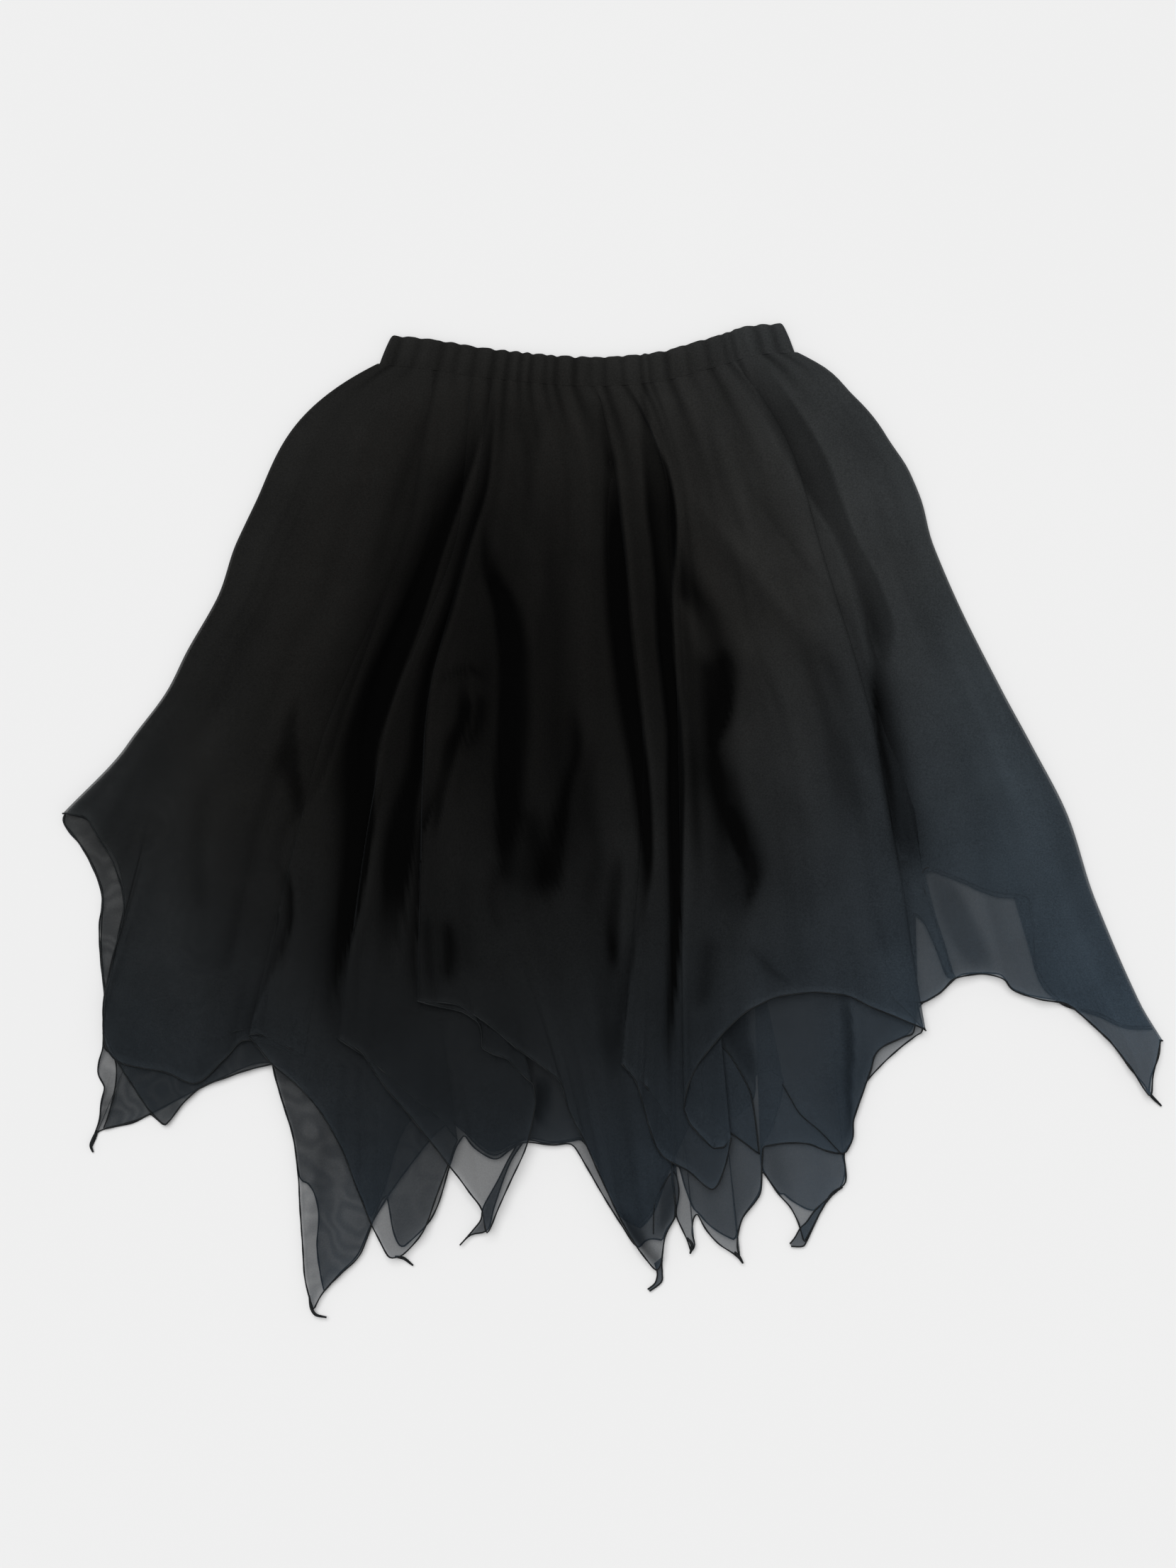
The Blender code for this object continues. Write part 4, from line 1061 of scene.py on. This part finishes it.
def clothMaterial(name, alpha, moire=0.0):
    # Colour = radial ramp about the skirt's middle, a painted sheen that grows lighter and bluer outwards, *
    # tone attribute, with the painted shade and highlights of folds and gathers, * noise, * a painted sheen
    # lighter to the right, * a tint from the cloth's own warm black to a painted bluish sheen; the weave is
    # fine crossed bands and the crepe a small noise, both in the bump; alpha runs from dense at the waist to
    # sheer at the hem.
    # Moire is how much alpha swings, as the sine of a slow noise, where two sheer layers' weaves meet.
    made, tree, shader = material(name)
    links = tree.links
    place = tree.nodes.new("ShaderNodeTexCoord").outputs["Object"]
    split = tree.nodes.new("ShaderNodeSeparateXYZ")
    links.new(place, split.inputs[0])
    right, up = split.outputs[0], split.outputs[1]
    centre = toWorld(*chiffon["centre"], 0.0)
    reachX, reachY = (mathNode(tree, "MULTIPLY_ADD", part, 1 / (radius * mm), -middle / (radius * mm))
                      for part, radius, middle in zip((right, up), chiffon["radii"], centre))
    squares = mathNode(tree, "MULTIPLY_ADD", reachX, reachX, mathNode(tree, "MULTIPLY", reachY, reachY))
    distance = mathNode(tree, "MULTIPLY", mathNode(tree, "SQRT", squares), 1 / chiffon["rampReach"])
    shade = chiffon["shade"]
    stops = [(position, *(shade * part for part in colour)) for position, *colour in chiffon["ramp"]]
    # Painted sheen: lighter and bluer away from the skirt's middle.
    base = rampNode(tree, distance, stops)

    crepe = patternNode(tree, "Noise", place, chiffon["crepe"])
    grain = mathNode(tree, "MULTIPLY_ADD", crepe, *chiffon["crepeShade"])
    blotch = patternNode(tree, "Noise", place, chiffon["blotch"])
    uneven = mathNode(tree, "MULTIPLY_ADD", blotch, chiffon["blotchDepth"], grain)
    # Painted sheen: the cloth lighter towards the right.
    sideSheen = mathNode(tree, "MULTIPLY_ADD", right, chiffon["paintedSideSheen"], 1.0)
    # The tone attribute brings in the painted shade and highlights.
    shaded = mathNode(tree, "MULTIPLY", attributeNode(tree, "tone"), uneven)
    brightness = mathNode(tree, "MULTIPLY", shaded, sideSheen)
    # Tint from the cloth's own warm black at the upper left to a painted bluish sheen at the lower right.
    height = mathNode(tree, "MULTIPLY_ADD", up, chiffon["tintSlope"][1], chiffon["tintMiddle"])
    cool = mathNode(tree, "MULTIPLY_ADD", right, chiffon["tintSlope"][0], height)
    tint = rampNode(tree, cool, ((0.0, *chiffon["warm"]), (1.0, *chiffon["cool"])))
    tinted = tree.nodes.new("ShaderNodeVectorMath")
    tinted.operation = "MULTIPLY"
    links.new(base, tinted.inputs[0])
    links.new(tint, tinted.inputs[1])
    colour = tree.nodes.new("ShaderNodeVectorMath")
    colour.operation = "SCALE"
    links.new(tinted.outputs[0], colour.inputs[0])
    links.new(brightness, colour.inputs["Scale"])
    links.new(colour.outputs[0], shader.inputs["Base Color"])

    sheer = mathNode(tree, "MULTIPLY_ADD", crepe, chiffon["alphaGrain"], alpha - chiffon["alphaGrain"] / 2)
    if moire:
        contour = patternNode(tree, "Noise", place, chiffon["contour"])
        rings = mathNode(tree, "SINE", mathNode(tree, "MULTIPLY", contour, chiffon["contourRings"]))
        leftward = mathNode(tree, "MINIMUM", mathNode(tree, "MULTIPLY", right, chiffon["moireSlope"]), 1.0)
        strength = mathNode(tree, "MAXIMUM", mathNode(tree, "MULTIPLY", leftward, moire), 0.0)
        sheer = mathNode(tree, "ADD", sheer, mathNode(tree, "MULTIPLY", rings, strength))
    gap = mathNode(tree, "SUBTRACT", chiffon["denseAlpha"], sheer)
    opacity = mathNode(tree, "MULTIPLY_ADD", attributeNode(tree, "cover"), gap, sheer)
    links.new(opacity, shader.inputs["Alpha"])

    warp, weft = (patternNode(tree, "Wave", place, chiffon["thread"], bands) for bands in "XY")
    surface = mathNode(tree, "MULTIPLY_ADD", crepe, chiffon["crepeBump"], mathNode(tree, "ADD", warp, weft))
    bumpInto(tree, shader, surface, *chiffon["bump"])
    setInputs(shader, chiffon["shader"])
    return made


thread = {
    "stitches": {"Scale": 260.0, "Distortion": 2.0},
    "colours": ((0.0, 0.0035, 0.0045, 0.0050), (1.0, 0.0100, 0.0120, 0.0135)),
    "bump": (0.4, 0.0003),
    "shader": {"Roughness": 0.55, "Specular IOR Level": 0.15},
}


def hemMaterial():
    # Dark thread with the roll's slanting stitches: fine diagonal bands in the bump, less in the colour.
    made, tree, shader = material("rolledHem")
    place = tree.nodes.new("ShaderNodeTexCoord").outputs["Object"]
    stitches = patternNode(tree, "Wave", place, thread["stitches"], "DIAGONAL")
    tree.links.new(rampNode(tree, stitches, thread["colours"]), shader.inputs["Base Color"])
    bumpInto(tree, shader, stitches, *thread["bump"])
    setInputs(shader, thread["shader"])
    return made


paper = {
    "mottle": {"Scale": 3.0},
    "colours": ((0.0, 0.862, 0.862, 0.862), (1.0, 0.874, 0.874, 0.874)),
    "shader": {"Roughness": 0.95, "Specular IOR Level": 0.0},
}


def floorMaterial():
    # Pale matt paper with a barely visible mottle.
    made, tree, shader = material("paleBackdrop")
    place = tree.nodes.new("ShaderNodeTexCoord").outputs["Object"]
    mottle = patternNode(tree, "Noise", place, paper["mottle"])
    tree.links.new(rampNode(tree, mottle, paper["colours"]), shader.inputs["Base Color"])
    setInputs(shader, paper["shader"])
    return made


looks = {
    "overlay": clothMaterial("overlayChiffon", chiffon["alpha"]),
    "under": clothMaterial("underskirtChiffon", chiffon["alpha"], chiffon["moire"]),
    "casing": clothMaterial("casingChiffon", chiffon["denseAlpha"]),
    "hem": hemMaterial(),
}
print("materials made:", len(looks))


density = {
    "centre": (-30, 150),
    "radii": (300, 330),
    "edge": (0.55, 0.70),  # distance, in radii, where the fullness starts to thin out, and over how much more
    # How much denser the cloth is drawn where its tone is darker: more plies in the folds' valleys, and
    # painted shade.
    "foldCover": 0.9,
}


def clothCover(grid, tone):
    # 1 below the waist and 0 from a rounded line outwards, as the gathered fullness thins out; also up to 1
    # wherever the tone is darker: partly the folds' valleys, where more plies of the cloth lie together, and
    # partly painted shade, such as the bells around the folds, carried into the sheer cloth's cover.
    scaled = (grid[:, :, :2] - density["centre"]) / density["radii"]
    start, length = density["edge"]
    fullness = 1 - smoothStep((np.hypot(scaled[:, :, 0], scaled[:, :, 1]) - start) / length)
    return np.clip(fullness + density["foldCover"] * (1 - tone), 0, 1)


def layShell(name, node, grid, look, flutter, foldShare):
    # One layer of cloth in place of its solid, and the rolled hem along the layer's last row.
    points, tone = dressed(grid, flutter["flutter"], flutter["flutterLength"], foldShare)
    columns, rows = grid.shape[:2]
    # The tone holds the painted shade and highlights, and the cover follows it.
    attributes = {"tone": tone, "cover": clothCover(grid, tone)}
    shell = addMesh(name, points, gridFaces(columns, rows), look, attributes)
    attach(shell, "root")
    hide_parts(node)
    hem = rolledHem(name, points[:, -1], points[:, -1, 2].min() / mm + hems["height"], looks["hem"])
    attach(hem, "root")
    print(name, "points", columns * rows, "hem faces", len(hem.data.polygons))
    return shell, hem


for name in ("overlayBack", "underskirtBack", "underskirtFront"):
    layer = flatLayers[name]
    layShell(name, layer["node"], flatGrid(layer), looks["under"], flatLayers, 0.0)
frontGrid = overlayFrontGrid()
layShell("overlayFront", "overlay_front", frontGrid, looks["overlay"], overlay, 1.0)

turned = foldedCorners(looks["under"], looks["hem"])
for piece in turned:
    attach(piece, "root")
print("corners folded:", len(corners))

for side in ("front", "back"):
    points, tone = casingGrid(side)
    faces = gridFaces(casing["columns"], casing["rows"], flip=side == "back")
    band = addMesh("casing" + side.capitalize(), points, faces, looks["casing"],
                   {"tone": tone, "cover": np.ones_like(tone)})
    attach(band, "root")
    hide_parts("waist_casing_" + side)
print("casing bands laid")


# The backdrop, the light and the camera over it.
studio = {
    "floorSize": 6.0,
    "floorLevel": -0.0004,
    "sunStrength": 2.20,
    "sunAngle": 50.0,
    "sunTilt": (22.0, -10.0),
    "worldLevel": 0.36,
    "cameraHeight": 2.0,
    "cameraAcross": -0.0184,
    "cameraAlong": 0.0281,
    "clothHeight": 0.006,
    "photoLength": 1.2166,  # metres that the photo's long side takes in, at the cloth's height
}
half = studio["floorSize"] / 2
square = np.array([(-half, -half, 0), (half, -half, 0), (half, half, 0), (-half, half, 0)])
floor = addMesh("backdrop", square + (0, 0, studio["floorLevel"]), [(0, 1, 2, 3)], floorMaterial())

sun = bpy.data.lights.new("softSun", "SUN")
sun.energy = studio["sunStrength"]
sun.angle = math.radians(studio["sunAngle"])
sunObject = bpy.data.objects.new("softSun", sun)
sunObject.rotation_euler = (math.radians(-studio["sunTilt"][0]), math.radians(studio["sunTilt"][1]), 0)
bpy.context.scene.collection.objects.link(sunObject)

world = bpy.data.worlds.new("studio")
world.use_nodes = True
world.node_tree.nodes["Background"].inputs["Color"].default_value = (1, 1, 1, 1)
world.node_tree.nodes["Background"].inputs["Strength"].default_value = studio["worldLevel"]
bpy.context.scene.world = world
bpy.context.scene.view_settings.view_transform = "Standard"

camera = bpy.data.cameras.new("overhead")
camera.lens = camera.sensor_width * (studio["cameraHeight"] - studio["clothHeight"]) / studio["photoLength"]
cameraObject = bpy.data.objects.new("overhead", camera)
cameraObject.location = (studio["cameraAcross"], studio["cameraAlong"], studio["cameraHeight"])
bpy.context.scene.collection.objects.link(cameraObject)
bpy.context.scene.camera = cameraObject
print("studio set up")
